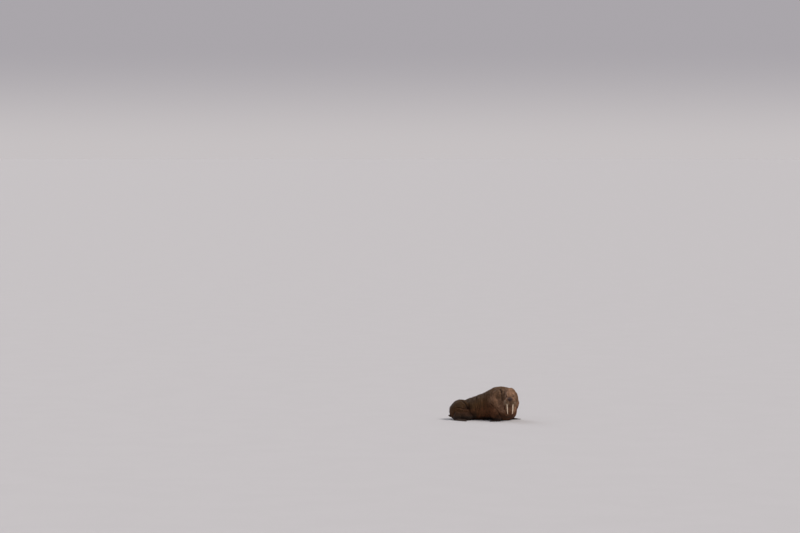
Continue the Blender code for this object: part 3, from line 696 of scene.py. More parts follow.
def relief(points, sizes):
    """How far folds, wrinkles and knobs lift or sink the skin at each point."""
    along, angle, _ = along_body(points)
    face = inside(HEAD, points)
    bare = flipper_share(points)
    head = ease(away(face, FACE_MIDDLE), 0.40, 0.24)
    lie = unrolled(along, angle)
    lie += 0.05 * np.column_stack([noise(points / 0.22, seed) for seed in (11, 12, 13)])
    neck = ease(along, 1.45, 2.0) * (1 - head)
    trunk = 1 - ease(along, 1.3, 1.8)
    folds = puffed(lie / FOLD_CELL, 21, 1) - 0.65
    wrinkles = puffed(lie / WRINKLE_CELL, 31, 2) - 0.6
    lines = puffed(lie / LINE_CELL, 41, 2) - 0.6
    knobs = ease(noise(points / KNOB_CELL, 51), 0.12, 0.55)
    moved = sizes.fold_depth * folds * (1.0 * neck + 0.45 * trunk) * (1 - bare)
    large = crease_share(points, along, angle) + KNEE_DEPTH * knee_share(along, angle)
    moved -= large * (1 - bare) * (1 - head)
    moved += sizes.wrinkle_depth * wrinkles * (0.35 + 0.95 * neck + 0.10 * head) * (1 - 0.5 * bare)
    moved += sizes.wrinkle_depth * 0.40 * lines * (1 - 0.55 * head)
    moved += sizes.knob_height * knobs * (0.8 * neck + 0.15)
    moved += 0.004 * (puffed(points / TOE_CELL, 61, 2) - 0.6) * bare
    snout = face / (0.016, 0.075, 0.06) + 0.4 * noise(face / 0.05, 71)[:, None]
    moved += 0.0035 * (puffed(snout, 72, 1) - 0.6) * (blob(face, *BRIDGE) + 0.25 * head)
    return moved * ease(points[:, 2], 0.0, 0.10)


def pushed(points, look, reach, push, *sizes):
    """Moves the points within reach of a frame along its X, as a function of their places in it says."""
    near = np.nonzero(away(points, look.translation) < reach)[0]
    local = inside(look, points[near])
    local[:, 0] += push(local, *sizes)
    points[near] = turned_out(look, local)


def lids(local, radius, side):
    """Lids round the eye's opening, with three folds round them and short spokes between."""
    x, y = local[:, 0], local[:, 1]
    front = ease(x, -0.012, 0.004)
    reach = np.hypot(y, local[:, 2])
    ball = np.sqrt(np.maximum(radius**2 - reach**2, 1e-8))
    high = local[:, 2] + 0.0015 - 0.10 * y * side
    ring = np.sqrt((y / EYE_WIDE) ** 2 + (high / np.where(high > 0, EYE_ABOVE, EYE_BELOW)) ** 2)
    rim = ball + 0.0016 + 0.0012 * bell(ring - 1.45, 0.25)
    lid = x * (1 - ease(ring, 2.4, 1.25)) + rim * ease(ring, 2.4, 1.25)
    lid -= 0.0022 * bell(ring - 2.05, 0.22) + 0.0018 * bell(ring - 3.0, 0.25) + 0.0012 * bell(ring - 4.1, 0.3)
    lid = np.where(ring < 1.0, ball - 0.0030, lid)
    spokes = noise(np.column_stack((np.arctan2(high, y) * 3.2, ring * 0.3, y * 0)), 81)
    lid += 0.0012 * spokes * ease(ring, 1.6, 2.6) * ease(ring, 6.0, 3.0)
    return (lid - x) * front * ease(reach, 0.075, 0.055)


def nostril(local, side):
    """A bent slit with a raised rim."""
    turn = math.radians(24 * side)
    y = local[:, 1] * math.cos(turn) + local[:, 2] * math.sin(turn)
    z = local[:, 2] * math.cos(turn) - local[:, 1] * math.sin(turn)
    bend = y + side * 9.0 * z * z - side * 0.001
    ring = np.sqrt((bend / NOSTRIL_WIDE) ** 2 + (z / NOSTRIL_TALL) ** 2)
    return 0.0045 * bell(ring - 1.75, 0.55) - 0.016 * ease(ring, 1.25, 0.35)


def ear(local):
    """A small hole with a raised rim."""
    ring = np.sqrt((local[:, 1] / EAR_WIDE) ** 2 + (local[:, 2] / EAR_TALL) ** 2)
    return 0.005 * bell(ring - 1.9, 0.6) - 0.012 * ease(ring, 1.2, 0.2)


def carve_face(points):
    """Moves the skin of the face into lids, nostrils and ears."""
    for word, side in SIDES.items():
        centre, radius, way = eye_of(word)
        pushed(points, looking(centre, way), 0.085, lids, radius, side)
        look = looking(head_place(NOSTRIL_AT, side), head_way(NOSTRIL_WAY, side))
        pushed(points, look, 0.06, nostril, side)
        look = looking(head_place(EAR_AT, side), head_way((0, 1, 0), side))
        pushed(points, look, 0.06, ear)


def face_creases(points):
    """How far the mouth line, the cleft of the upper lip and the tusks' collars lift or sink the skin."""
    face = inside(HEAD, points)
    x, y, z = face[:, 0], np.abs(face[:, 1]), face[:, 2]
    line = z - MOUTH_HIGH - 0.015 * ease(x, 0.09, 0.0)
    mouth = bell(line, 0.0045) * ease(x, -0.03, 0.03) * ease(np.linalg.norm(face, axis=1), 0.34, 0.30)
    cleft = bell(y, 0.005) * ease(x, 0.19, 0.23) * ease(z, -0.02, -0.05) * ease(z, -0.155, -0.135)
    gap = tusk_gap(points)
    collar = bell(gap - 0.010, 0.007) * ease(z, -0.30, -0.24)
    return -0.009 * mouth - 0.006 * cleft + 0.0045 * collar


def hollow(piece):
    """How sunk each vertex lies between its neighbours, from 0 to 1; it sets where painted shade darkens the
    hide and hair.
    """
    points, normals = places(piece), slopes(piece)
    ends = numbers(piece.data.edges, "vertices", np.int64, 2)
    count = np.maximum(np.bincount(ends.ravel(), minlength=len(points)), 1)
    drop = np.zeros(len(points))
    for here, there in (ends.T, ends.T[::-1]):
        step = points[there] - points[here]
        rise = np.sum(step * normals[here], axis=1) / np.maximum(np.linalg.norm(step, axis=1), 1e-6)
        np.add.at(drop, here, rise)
    drop /= count
    for _ in range(2):
        spread = np.zeros(len(points))
        for here, there in (ends.T, ends.T[::-1]):
            np.add.at(spread, here, drop[there])
        drop = 0.5 * drop + 0.5 * spread / count
    return ease(drop, 0.012, 0.15)


def form(frame_matrix, centre, radii, turn=(0, 0, 0)):
    """A rounded form in a frame, turned about its own X, Y and Z in degrees."""
    deselect()
    bpy.ops.mesh.primitive_uv_sphere_add(segments=40, ring_count=28, radius=1.0)
    made = bpy.context.object
    turned = Matrix.Identity(4)
    for axis, angle in zip("XYZ", turn):
        turned = Matrix.Rotation(math.radians(angle), 4, axis) @ turned
    made.matrix_world = frame_matrix @ Matrix.Translation(centre) @ turned @ Matrix.Diagonal((*radii, 1))
    return made


def muzzle_forms():
    """The lip pads, nose and lips."""
    made = []
    for centre, radii, turn, count in MUZZLE_FORMS:
        for side in (1, -1)[:count]:
            where = (centre[0], centre[1] * side, centre[2])
            made.append(form(HEAD, where, radii, (turn[0] * side, turn[1], turn[2] * side)))
    return made


def head_share(points, far, near):
    """0 further than far from the middle of the head, 1 within near, and smooth between."""
    return ease(away(inside(HEAD, points), HEAD_MIDDLE), far, near)


def digit_rays():
    """For each digit and web: its frame, the lengths of the digits beside it, and whether it is a web."""
    for start, heading, digits, spread, thick in FANS:
        fan = placed(Vector((*start, 0.0)), heading)
        for i in range(2 * len(digits) - 1):
            across = (i + 1) / (2 * len(digits))
            root = Matrix.Translation((0, thick * DIGITS_APART * (1 - 2 * across), 0))
            ray = fan @ root @ Matrix.Rotation(math.radians(spread * (0.5 - across)), 4, "Z")
            yield ray, digits[i // 2], digits[(i + 1) // 2], i % 2


def digit_forms():
    """Rounded digits and the web between them, for each flipper."""
    made = []
    for ray, first, last, web in digit_rays():
        if web:
            reach = (first + last) / 2 * 0.960
            made.append(form(ray, (reach * 0.55, 0, 0.003), (reach * 0.42, 0.046, 0.0125)))
            made.append(form(ray, (reach - 0.075, 0, 0.003), (0.075, 0.078, 0.0120)))
        else:
            made.append(form(ray, (first * 0.60, 0, 0.006), (first * 0.36, 0.027, 0.024)))
            made.append(form(ray, (first * 0.985 - 0.044, 0, 0.005), (0.044, 0.027, 0.016)))
    return made


def finish_piece(piece, material):
    """Gives a piece its material and smooth shading, and lets it ride on the body."""
    piece.data.materials.clear()
    piece.data.materials.append(material)
    choose(piece)
    bpy.ops.object.shade_smooth()
    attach(piece, BODY)


def tapered(name, paths, radii, sides=5, flat=1.0):
    """One mesh of many closed pointed shapes, and each vertex's shape and share of the way to the tip.

    The paths are an array of (shape, ring, xyz), and the radii one of (shape, ring).
    """
    count, rings = radii.shape
    way = np.gradient(paths, axis=1)
    way /= np.linalg.norm(way, axis=2)[:, :, None]
    across = np.cross(way, (0.0, 0.0, 1.0))
    across /= np.maximum(np.linalg.norm(across, axis=2), 1e-6)[:, :, None]
    over = np.cross(way, across)
    turn = 2 * math.pi * np.arange(sides) / sides
    body = paths[:, :-1, None, :] + radii[:, :-1, None, None] * (
        across[:, :-1, None, :] * np.cos(turn)[None, None, :, None]
        + over[:, :-1, None, :] * flat * np.sin(turn)[None, None, :, None]
    )
    each = (rings - 1) * sides + 1
    points = np.concatenate((body.reshape(count, -1, 3), paths[:, -1:, :]), axis=1).reshape(-1, 3)
    last = (rings - 2) * sides
    pairs = [(k, (k + 1) % sides) for k in range(sides)]
    one = []
    for low in range(0, last, sides):
        one += [(low + k, low + n, low + sides + n, low + sides + k) for k, n in pairs]
    one += [(last + k, last + n, each - 1) for k, n in pairs]
    one.append(tuple(range(sides))[::-1])
    faces = [tuple(i + shape * each for i in face) for shape in range(count) for face in one]
    mesh = bpy.data.meshes.new(name)
    mesh.from_pydata(points.tolist(), [], faces)
    piece = bpy.data.objects.new(name, mesh)
    bpy.context.scene.collection.objects.link(piece)
    share = np.tile(np.append(np.repeat(np.arange(rings - 1) / (rings - 1), sides), 1.0), count)
    return piece, np.repeat(np.arange(count), each), share


def put(tree, kind, sockets=None, **settings):
    """Adds a node, with values or links for its inputs by name or number."""
    made = tree.nodes.new(kind)
    made.location = (len(tree.nodes) * 60, -(len(tree.nodes) % 5) * 160)
    for name, value in settings.items():
        setattr(made, name, value)
    for key, value in (sockets or {}).items():
        if isinstance(value, bpy.types.NodeSocket):
            tree.links.new(value, made.inputs[key])
        else:
            made.inputs[key].default_value = value
    return made


def rgba(value):
    return (*value, 1.0) if len(value) == 3 else value


def blend(tree, factor, first, second, how="MIX"):
    """The colour between two colours."""
    first, second = (v if isinstance(v, bpy.types.NodeSocket) else rgba(v) for v in (first, second))
    sockets = {0: factor, 6: first, 7: second}
    return put(tree, "ShaderNodeMix", sockets, data_type="RGBA", blend_type=how).outputs[2]


def sums(tree, how, *values):
    """The values put together with one kind of arithmetic."""
    made = put(tree, "ShaderNodeMath", dict(enumerate(values[:2])), operation=how)
    for value in values[2:]:
        made = put(tree, "ShaderNodeMath", {0: made.outputs[0], 1: value}, operation=how)
    return made.outputs[0]


def times(tree, *values):
    return sums(tree, "MULTIPLY", *values)


def ranged(tree, value, low, high, to_low=0.0, to_high=1.0):
    sockets = {"Value": value, "From Min": low, "From Max": high, "To Min": to_low, "To Max": to_high}
    return put(tree, "ShaderNodeMapRange", sockets, interpolation_type="SMOOTHSTEP").outputs[0]


def cloudy(tree, vector, scale, detail=4.0, rough=0.55):
    sockets = {"Vector": vector, "Scale": scale, "Detail": detail, "Roughness": rough}
    return put(tree, "ShaderNodeTexNoise", sockets).outputs["Fac"]


def edges(tree, vector, scale=5.0):
    """How far the edge of a cell is."""
    sockets = {"Vector": vector, "Scale": scale}
    return put(tree, "ShaderNodeTexVoronoi", sockets, feature="DISTANCE_TO_EDGE").outputs["Distance"]


def scaled(tree, vector, scale):
    return put(tree, "ShaderNodeMapping", {"Vector": vector, "Scale": scale}).outputs[0]


def darker(tint, share):
    return [part * share for part in tint]


def mark(tree, name):
    return put(tree, "ShaderNodeAttribute", attribute_name=name, attribute_type="GEOMETRY").outputs["Fac"]


def new_group(name, inputs, outputs):
    """A shader node group with named sockets, and its ends."""
    tree = bpy.data.node_groups.new(name, "ShaderNodeTree")
    kinds = {"vector": "NodeSocketVector", "value": "NodeSocketFloat", "colour": "NodeSocketColor"}
    for direction, sockets in (("INPUT", inputs), ("OUTPUT", outputs)):
        for label, kind in sockets:
            tree.interface.new_socket(label, in_out=direction, socket_type=kinds[kind])
    return tree, tree.nodes.new("NodeGroupInput").outputs, tree.nodes.new("NodeGroupOutput").inputs


def grain_group():
    """Leathery grain: small plates between cracks, in two sizes, over soft lumps."""
    inputs = [("Vector", "vector"), ("Plate size", "value")]
    tree, given, out = new_group("Leather grain", inputs, [("Height", "value"), ("Cracks", "value")])
    tightness = sums(tree, "DIVIDE", 1.0, given["Plate size"])
    stirred = put(tree, "ShaderNodeTexNoise", {"Vector": given["Vector"], "Scale": 38.0, "Detail": 2.0})
    shift = {0: stirred.outputs["Color"], 1: (0.012, 0.012, 0.012)}
    shifted = put(tree, "ShaderNodeVectorMath", shift, operation="MULTIPLY").outputs[0]
    vector = put(tree, "ShaderNodeVectorMath", {0: given["Vector"], 1: shifted}, operation="ADD").outputs[0]
    plates = []
    for part in (1.0, 2.7):
        plates.append(ranged(tree, edges(tree, vector, times(tree, tightness, part)), 0.0, 0.22))
    lumps = cloudy(tree, vector, 70.0, 5.0, 0.6)
    height = sums(tree, "ADD", times(tree, plates[0], 0.5), times(tree, plates[1], 0.22))
    tree.links.new(sums(tree, "ADD", height, times(tree, lumps, 0.55)), out["Height"])
    tree.links.new(sums(tree, "SUBTRACT", 1.0, plates[0]), out["Cracks"])
    return tree


def blotch_group():
    """Soft patches with a finer edge, as a mask."""
    tree, given, out = new_group("Blotches", [("Vector", "vector"), ("Scale", "value")], [("Mask", "value")])
    wide = cloudy(tree, given["Vector"], given["Scale"], 3.0)
    fine = cloudy(tree, given["Vector"], times(tree, given["Scale"], 6.0), 5.0)
    both = sums(tree, "ADD", times(tree, wide, 0.72), times(tree, fine, 0.28))
    tree.links.new(ranged(tree, both, 0.38, 0.62), out["Mask"])
    return tree


def grouped(tree, name, **sockets):
    """The outputs of a node group, with values or links for its inputs."""
    return put(tree, "ShaderNodeGroup", sockets, node_tree=group(name)).outputs


TINTS = ("hide", "shaded", "rosy", "pale", "bare", "nose", "weathered", "damp", "crease")


def hide_group():
    """The colours of skin and hair, laid over each other by the markings, with painted shade in creases and
    hollows on top.
    """
    masks = [(name, "value") for name in (*MARKS, "hollow")]
    inputs = [("Vector", "vector"), *((f"{tint} colour", "colour") for tint in TINTS), *masks]
    tree, given, out = new_group("Hide colours", inputs, [("Color", "colour")])
    wide = grouped(tree, "Blotches", Vector=given["Vector"], Scale=2.1)["Mask"]
    small = grouped(tree, "Blotches", Vector=given["Vector"], Scale=11.0)["Mask"]
    fine = cloudy(tree, given["Vector"], 95.0, 5.0, 0.65)
    tint = blend(tree, times(tree, wide, 0.75), given["hide colour"], given["shaded colour"])
    uneven = ranged(tree, small, 0.0, 1.0, 0.55, 1.0)
    for name in ("weathered", "rosy", "pale"):
        tint = blend(tree, times(tree, given[name], uneven), tint, given[f"{name} colour"])
    # The low parts' mark among these paints shade
    for name in ("damp", "bare", "nose"):
        tint = blend(tree, given[name], tint, given[f"{name} colour"])
    grey = {channel: ranged(tree, fine, 0.3, 0.7, 0.72, 1.28) for channel in range(3)}
    speckle = put(tree, "ShaderNodeCombineColor", grey)
    tint = blend(tree, 1.0, tint, speckle.outputs[0], "MULTIPLY")
    # Painted shade: creases and hollows go toward the crease colour
    deep = times(tree, given["hollow"], 0.85)
    tree.links.new(blend(tree, deep, tint, given["crease colour"]), out["Color"])
    return tree


def group(name):
    makers = {"Leather grain": grain_group, "Blotches": blotch_group, "Hide colours": hide_group}
    return bpy.data.node_groups.get(name) or makers[name]()


def new_material(name, roughness, **sockets):
    """A material with uniform values on its shader's own sockets, and its object coordinates."""
    material = bpy.data.materials.new(name)
    material.use_nodes = True
    tree = material.node_tree
    shader = tree.nodes["Principled BSDF"]
    shader.inputs["Roughness"].default_value = roughness
    for label, value in sockets.items():
        shader.inputs[label.replace("_", " ")].default_value = value
    vector = put(tree, "ShaderNodeTexCoord").outputs["Object"]
    return material, tree, shader, vector


def hide_colours(tree, vector, colours):
    """The colours of skin and hair, from the settings and from the piece's own markings."""
    sockets = {f"{tint} colour": rgba(getattr(colours, tint)) for tint in TINTS}
    sockets.update({name: mark(tree, name) for name in (*MARKS, "hollow")})
    return grouped(tree, "Hide colours", Vector=vector, **sockets)["Color"]


def bumped(tree, shader, height, distance, strength=1.0, under=None):
    sockets = {"Height": height, "Distance": distance, "Strength": strength}
    if under is not None:
        sockets["Normal"] = under
    made = put(tree, "ShaderNodeBump", sockets)
    tree.links.new(made.outputs[0], shader.inputs["Normal"])
    return made.outputs[0]


def hide_material(colours):
    material, tree, shader, vector = new_material(
        "Wrinkled hide", 0.7, Sheen_Weight=0.01, Coat_Roughness=0.34, Specular_IOR_Level=0.09
    )
    tint = hide_colours(tree, vector, colours)
    lie = put(tree, "ShaderNodeAttribute", attribute_name="lie", attribute_type="GEOMETRY").outputs["Vector"]
    plates = {"Vector": scaled(tree, lie, (1.0, 0.45, 0.6)), "Plate size": 0.0055}
    grain = grouped(tree, "Leather grain", **plates)
    # Painted shade in the cracks of the grain
    cracked = blend(tree, times(tree, grain["Cracks"], 0.28), tint, colours.crease)
    tree.links.new(cracked, shader.inputs["Base Color"])
    swirl = {"Vector": scaled(tree, lie, (62.0, 14.0, 8.0)), "Scale": 1.0, "Detail": 3.0, "Distortion": 0.6}
    swirled = put(tree, "ShaderNodeTexNoise", swirl).outputs["Fac"]
    rolls = ranged(tree, sums(tree, "ABSOLUTE", sums(tree, "SUBTRACT", swirled, 0.5)), 0.0, 0.16)
    first = bumped(tree, shader, rolls, 0.0035, 0.8)
    bumped(tree, shader, grain["Height"], 0.0014, 0.9, first)
    dull = ranged(tree, cloudy(tree, vector, 14.0, 4.0), 0.35, 0.65, 0.58, 0.82)
    for name, gloss in (("nose", 0.16), ("bare", 0.12), ("damp", 0.10)):
        dull = sums(tree, "SUBTRACT", dull, times(tree, mark(tree, name), gloss))
    tree.links.new(dull, shader.inputs["Roughness"])
    tree.links.new(times(tree, mark(tree, "nose"), 0.28), shader.inputs["Coat Weight"])
    return material


def hair_material(colours):
    material, tree, shader, vector = new_material("Short hair", 0.65, Specular_IOR_Level=0.06)
    tint = hide_colours(tree, vector, colours)
    out = ranged(tree, mark(tree, "tip"), 0.1, 1.0, 0.15, 0.6)
    tree.links.new(blend(tree, out, tint, colours.hair), shader.inputs["Base Color"])
    return material


def ivory_material(colours):
    material, tree, shader, vector = new_material("Ivory", 0.38, Coat_Weight=0.12, Coat_Roughness=0.25)
    streaks = cloudy(tree, scaled(tree, vector, (150.0, 150.0, 9.0)), 1.0, 4.0)
    cracks = ranged(tree, edges(tree, scaled(tree, vector, (70.0, 70.0, 4.5))), 0.035, 0.0)
    cracks = times(tree, cracks, ranged(tree, cloudy(tree, vector, 16.0), 0.42, 0.60))
    stained = times(tree, ranged(tree, streaks, 0.40, 0.72), 0.20)
    worn = times(tree, mark(tree, "root"), 0.75)
    tint = blend(tree, sums(tree, "MAXIMUM", stained, worn), colours.ivory, colours.stain)
    tint = blend(tree, times(tree, cracks, 0.8), tint, darker(colours.stain, 0.35))
    tree.links.new(tint, shader.inputs["Base Color"])
    bumped(tree, shader, sums(tree, "SUBTRACT", times(tree, streaks, 0.35), cracks), 0.0012, 0.8)
    tree.links.new(ranged(tree, streaks, 0.3, 0.7, 0.30, 0.48), shader.inputs["Roughness"])
    return material


def eye_material(colours):
    material, tree, shader, vector = new_material(
        "Wet eye", 0.12, Coat_Weight=0.5, Coat_Roughness=0.02, Specular_IOR_Level=0.3
    )
    speck = sums(tree, "ADD", mark(tree, "aside"), times(tree, cloudy(tree, vector, 420.0), 0.05))
    tint = blend(tree, ranged(tree, speck, 0.30, 0.38), (0.002, 0.002, 0.002), colours.iris)
    tint = blend(tree, ranged(tree, speck, 0.56, 0.70), tint, darker(colours.iris, 0.25))
    veins = ranged(tree, cloudy(tree, vector, 260.0, 6.0), 0.40, 0.62)
    white = blend(tree, veins, colours.sclera, darker(colours.sclera, 0.45))
    tree.links.new(blend(tree, ranged(tree, speck, 0.80, 0.98), tint, white), shader.inputs["Base Color"])
    tree.links.new(ranged(tree, speck, 0.4, 0.8, 0.10, 0.22), shader.inputs["Roughness"])
    return material


def horn_material(name, tint, roughness, dark):
    """Horn that is dark at the root and streaked along its length."""
    material, tree, shader, vector = new_material(name, roughness, Specular_IOR_Level=0.5)
    streaks = cloudy(tree, vector, 240.0, 3.0)
    shown = blend(tree, ranged(tree, streaks, 0.35, 0.65), tint, darker(tint, 0.6))
    root = times(tree, ranged(tree, mark(tree, "tip"), 0.22, 0.02), 0.9)
    tree.links.new(blend(tree, root, shown, dark), shader.inputs["Base Color"])
    bumped(tree, shader, streaks, 0.0003)
    return material


def whole_skin(sizes):
    """The flesh, sockets, lip pads and digits, run together into one smooth closed mesh."""
    copies = [merged_copy(node) for node in FLESH if node != "muzzle"]
    for word in SIDES:
        centre, radius, _ = eye_of(word)
        copies.append(form(Matrix.Translation(centre), (0, 0, 0), (radius - 0.001,) * 3))
    skin = joined("walrus_skin", copies + muzzle_forms() + digit_forms())
    modify(skin, "REMESH", mode="VOXEL", voxel_size=sizes.mesh_size)
    mode("EDIT")
    bpy.ops.mesh.select_all(action="SELECT")
    bpy.ops.mesh.separate(type="LOOSE")
    mode("OBJECT")
    shells = sorted(bpy.context.selected_objects, key=lambda o: len(o.data.polygons))
    skin = shells.pop()
    for shell in shells:
        bpy.data.objects.remove(shell)
    skin.name = skin.data.name = "walrus_skin"

    points = places(skin)
    thin = (flipper_share(points) > 0.5) & (points[:, 2] < 0.10)
    outside = np.nonzero((away(inside(HEAD, points), HEAD_MIDDLE) > HEAD_KEPT) & ~thin)[0]
    skin.vertex_groups.new(name="body").add(outside.tolist(), 1.0, "REPLACE")
    modify(skin, "SMOOTH", factor=0.5, iterations=7)
    modify(skin, "SMOOTH", factor=0.5, iterations=22, vertex_group="body")
    return skin


def refine(skin):
    """Gives the head a finer mesh, and the skin round the eyes a finer one still."""
    eyes = [eye_of(word)[0] for word in SIDES]
    for reach, middles in ((HEAD_FINE, [head_place(HEAD_MIDDLE)]), (EYE_FINE, eyes)):
        centres = face_middles(skin)
        close = np.zeros(len(centres), bool)
        for middle in middles:
            close |= away(centres, middle) < reach
        select_faces(skin, close)
        bpy.ops.mesh.subdivide(number_cuts=1, smoothness=0.0)
        mode("OBJECT")
    modify(skin, "SMOOTH", factor=0.5, iterations=4)


def thin_out(skin, points, count):
    """Leaves out triangles where the skin is even, and fewest of them on the head."""
    keep = skin.vertex_groups.new(name="keep")
    head = head_share(points, 0.34, 0.22)
    for level in range(5):
        ring = np.nonzero(np.minimum((head * 5).astype(int), 4) == level)[0]
        keep.add(ring.tolist(), 1.0 - 0.2 * level, "REPLACE")
    corners = numbers(skin.data.polygons, "loop_total", np.int32, 1)
    ratio = count / float(np.sum(corners - 2))
    modify(skin, "DECIMATE", ratio=ratio, vertex_group="keep", vertex_group_factor=0.0004)
    skin.vertex_groups.clear()


def mark_skin(skin):
    """Writes the markings, the painted shade of creases and hollows, and where the grain of the hide runs."""
    points, normals = places(skin), slopes(skin)
    along, angle, _ = along_body(points)
    # Painted shade: deep creases, both knee hollows and every sunk spot are darkened
    sunk = 0.85 * ease(crease_share(points, along, angle), 0.010, 0.030) + 1.0 * knee_share(along, angle)
    sunk = np.clip(np.maximum(hollow(skin), sunk), 0, 1)
    write_marks(skin, {**markings(points, normals), "hollow": sunk})
    head = head_share(points, 0.44, 0.24)[:, None]
    lie = unrolled(along, angle) * (1 - head) + inside(HEAD, points) * head
    layer = skin.data.attributes.new("lie", "FLOAT_VECTOR", "POINT")
    layer.data.foreach_set("vector", lie.astype(np.float32).ravel())


class WALRUS_OT_skin(Operator):
    """Lays one folded skin over all the flesh"""

    bl_idname = "walrus.skin"
    bl_label = "Skin"

    def execute(self, context):
        sizes = context.scene.walrus_sizes
        skin = whole_skin(sizes)
        refine(skin)
        points, normals = places(skin), slopes(skin)
        points -= normals * (sizes.coat_depth * ease(points[:, 2], 0.001, 0.02))[:, None]
        points += normals * (relief(points, sizes) + face_creases(points))[:, None]
        carve_face(points)
        points[:, 2] = np.maximum(points[:, 2], FLOOR_GAP)
        reshape(skin, points)
        thin_out(skin, points, sizes.skin_triangles)
        mark_skin(skin)
        finish_piece(skin, hide_material(context.scene.walrus_colours))
        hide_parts(*FLESH)
        return {"FINISHED"}


class WALRUS_OT_eyes(Operator):
    """Adds both eyeballs, each with a domed cornea"""

    bl_idname = "walrus.eyes"
    bl_label = "Eyes"

    def execute(self, context):
        material = eye_material(context.scene.walrus_colours)
        for word in SIDES:
            centre, radius, way = eye_of(word)
            deselect()
            turn = way.to_track_quat("Z", "Y").to_euler()
            bpy.ops.mesh.primitive_uv_sphere_add(
                segments=56, ring_count=40, radius=radius, location=centre, rotation=turn
            )
            eye = bpy.context.object
            eye.name = eye.data.name = f"eyeball_{word}"
            bpy.ops.object.transform_apply(location=True, rotation=True, scale=True)
            points = places(eye)
            spoke = (points - np.array(centre)) / radius
            aside = np.arccos(np.clip(spoke @ np.array(way), -1, 1))
            points += spoke * (0.0011 * bell(aside, 0.42))[:, None]
            reshape(eye, points)
            write_marks(eye, {"aside": aside})
            finish_piece(eye, material)
            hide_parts("eye_" + word)
        return {"FINISHED"}


def drawn_down(line, name):
    """A closed round shape along the line, with a rounded tip."""
    place, wide, deep = line[0]
    deselect()
    bpy.ops.mesh.primitive_circle_add(
        vertices=48, radius=1.0, fill_type="NGON", location=place, rotation=FACE.to_euler()
    )
    tusk = bpy.context.object
    tusk.name = tusk.data.name = name
    tusk.scale = (deep, wide, 1.0)
    bpy.ops.object.transform_apply(location=True, rotation=True, scale=True)
    bpy.context.tool_settings.mesh_select_mode = (False, False, True)
    mode("EDIT")
    bpy.ops.mesh.select_all(action="SELECT")
    rings = []
    for (before, _, deep_before), (after, _, deep_after) in zip(line, line[1:]):
        rings.append((after, after - before, deep_after / deep_before))
    for drop, share in TIP_RINGS:
        rings.append((rings[-1][0] - Vector((0, 0, drop)), (0, 0, -drop), share))
    for after, step, share in rings:
        bpy.ops.mesh.extrude_region_move(TRANSFORM_OT_translate={"value": step})
        bpy.ops.transform.resize(value=(share, share, 1.0), center_override=after)
    bpy.ops.mesh.select_all(action="SELECT")
    bpy.ops.mesh.normals_make_consistent(inside=False)
    mode("OBJECT")
    return tusk


class WALRUS_OT_tusks(Operator):
    """Adds both tusks, drawn down ring by ring from inside the lip to a worn tip"""

    bl_idname = "walrus.tusks"
    bl_label = "Tusks"

    def execute(self, context):
        material = ivory_material(context.scene.walrus_colours)
        for word, side in SIDES.items():
            line = tusk_line(side, TUSK_STEPS)
            tusk = drawn_down(line, f"ivory_{word}")
            points, normals = places(tusk), slopes(tusk)
            local = inside(FACE, points)
            down = np.clip((TUSK_ROOT[2] - local[:, 2]) / TUSK_LENGTH, 0, 1)
            middle = np.array([tuple(place) for place, _, _ in line])
            out = points - middle[np.clip((down * TUSK_STEPS).round().astype(int), 0, TUSK_STEPS)]
            turn = np.arctan2(out[:, 1], out[:, 0])
            ridges = noise(np.column_stack((np.cos(turn) * 3.2, np.sin(turn) * 3.2, down * 3.0)), 91 + side)
            groove = bell(np.sin(turn - 1.2), 0.25) * ease(down, 0.05, 0.2)
            points += normals * (0.0009 * ridges - 0.0012 * groove - 0.0006)[:, None]
            points[:, 2] = np.maximum(points[:, 2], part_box("tusk_" + word)[0][2] + FLOOR_GAP)
            reshape(tusk, points)
            gum = ease(down, 0.24, 0.12) + 0.35 * ease(down, 0.92, 1.0)
            write_marks(tusk, {"root": np.clip(gum + 0.25 * noise(points / 0.02, 95), 0, 1)})
            finish_piece(tusk, material)
            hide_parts("tusk_" + word)
        return {"FINISHED"}


def skin_tree():
    return tree_of(bpy.data.objects["walrus_skin"].data)


def whisker(tree, sizes, draw, side, high, out):
    """The path and ring sizes of one whisker, or None; high and out are its place on the pad, from 0 to 1."""
    turned = HEAD.to_3x3()
    strays = [draw.uniform(-WHISKER_STRAY, WHISKER_STRAY) for _ in WHISKER_START]
    swing, tilt = (
        math.radians(first + fan * share + stray)
        for first, fan, share, stray in zip(WHISKER_START, WHISKER_FAN, (out, high), strays)
    )
    level = Vector((math.cos(swing), side * math.sin(swing), 0))
    way = turned @ (level * math.cos(tilt) + Vector((0, 0, math.sin(tilt))))
    root, normal, _, _ = tree.ray_cast(head_place(PAD_AT, side) + way * 0.3, -way)
    if root is None or (HEAD.inverted() @ root)[0] < 0.105:
        return None
    long = sizes.whisker_length * (0.20 + 0.80 * (1 - high) ** 0.9 * (0.45 + 0.55 * out))
    long *= draw.uniform(0.72, 1.05)
    stray = Vector(draw.uniform(-0.13, 0.13, 3))
    lie = (normal * 0.7 + way * 0.35 + Vector((0, 0, -0.36)) + stray).normalized()
    curl = (Vector((0, 0, -1)) + turned @ Vector((0.5, -0.2 * side, 0))).normalized()
    steps = WHISKER_RINGS - 3
    path = [root - lie * 0.003, root, root + lie * 0.0022]
    for k in range(1, steps + 1):
        walked = long * k / steps
        path.append(root + lie * (walked + 0.0022) + curl * (0.30 * walked**2 / long))
    marks = np.array([tuple(place) for place in path])
    if np.min(tusk_gap(marks[3:])) < 0.004:
        return None
    thick = sizes.whisker_width / 2 * (0.65 + 0.35 * long / sizes.whisker_length)
    taper = [thick * (1 - 0.62 * k / steps) for k in range(1, steps + 1)]
    return marks, [thick * 2.3, thick * 2.0, thick] + taper


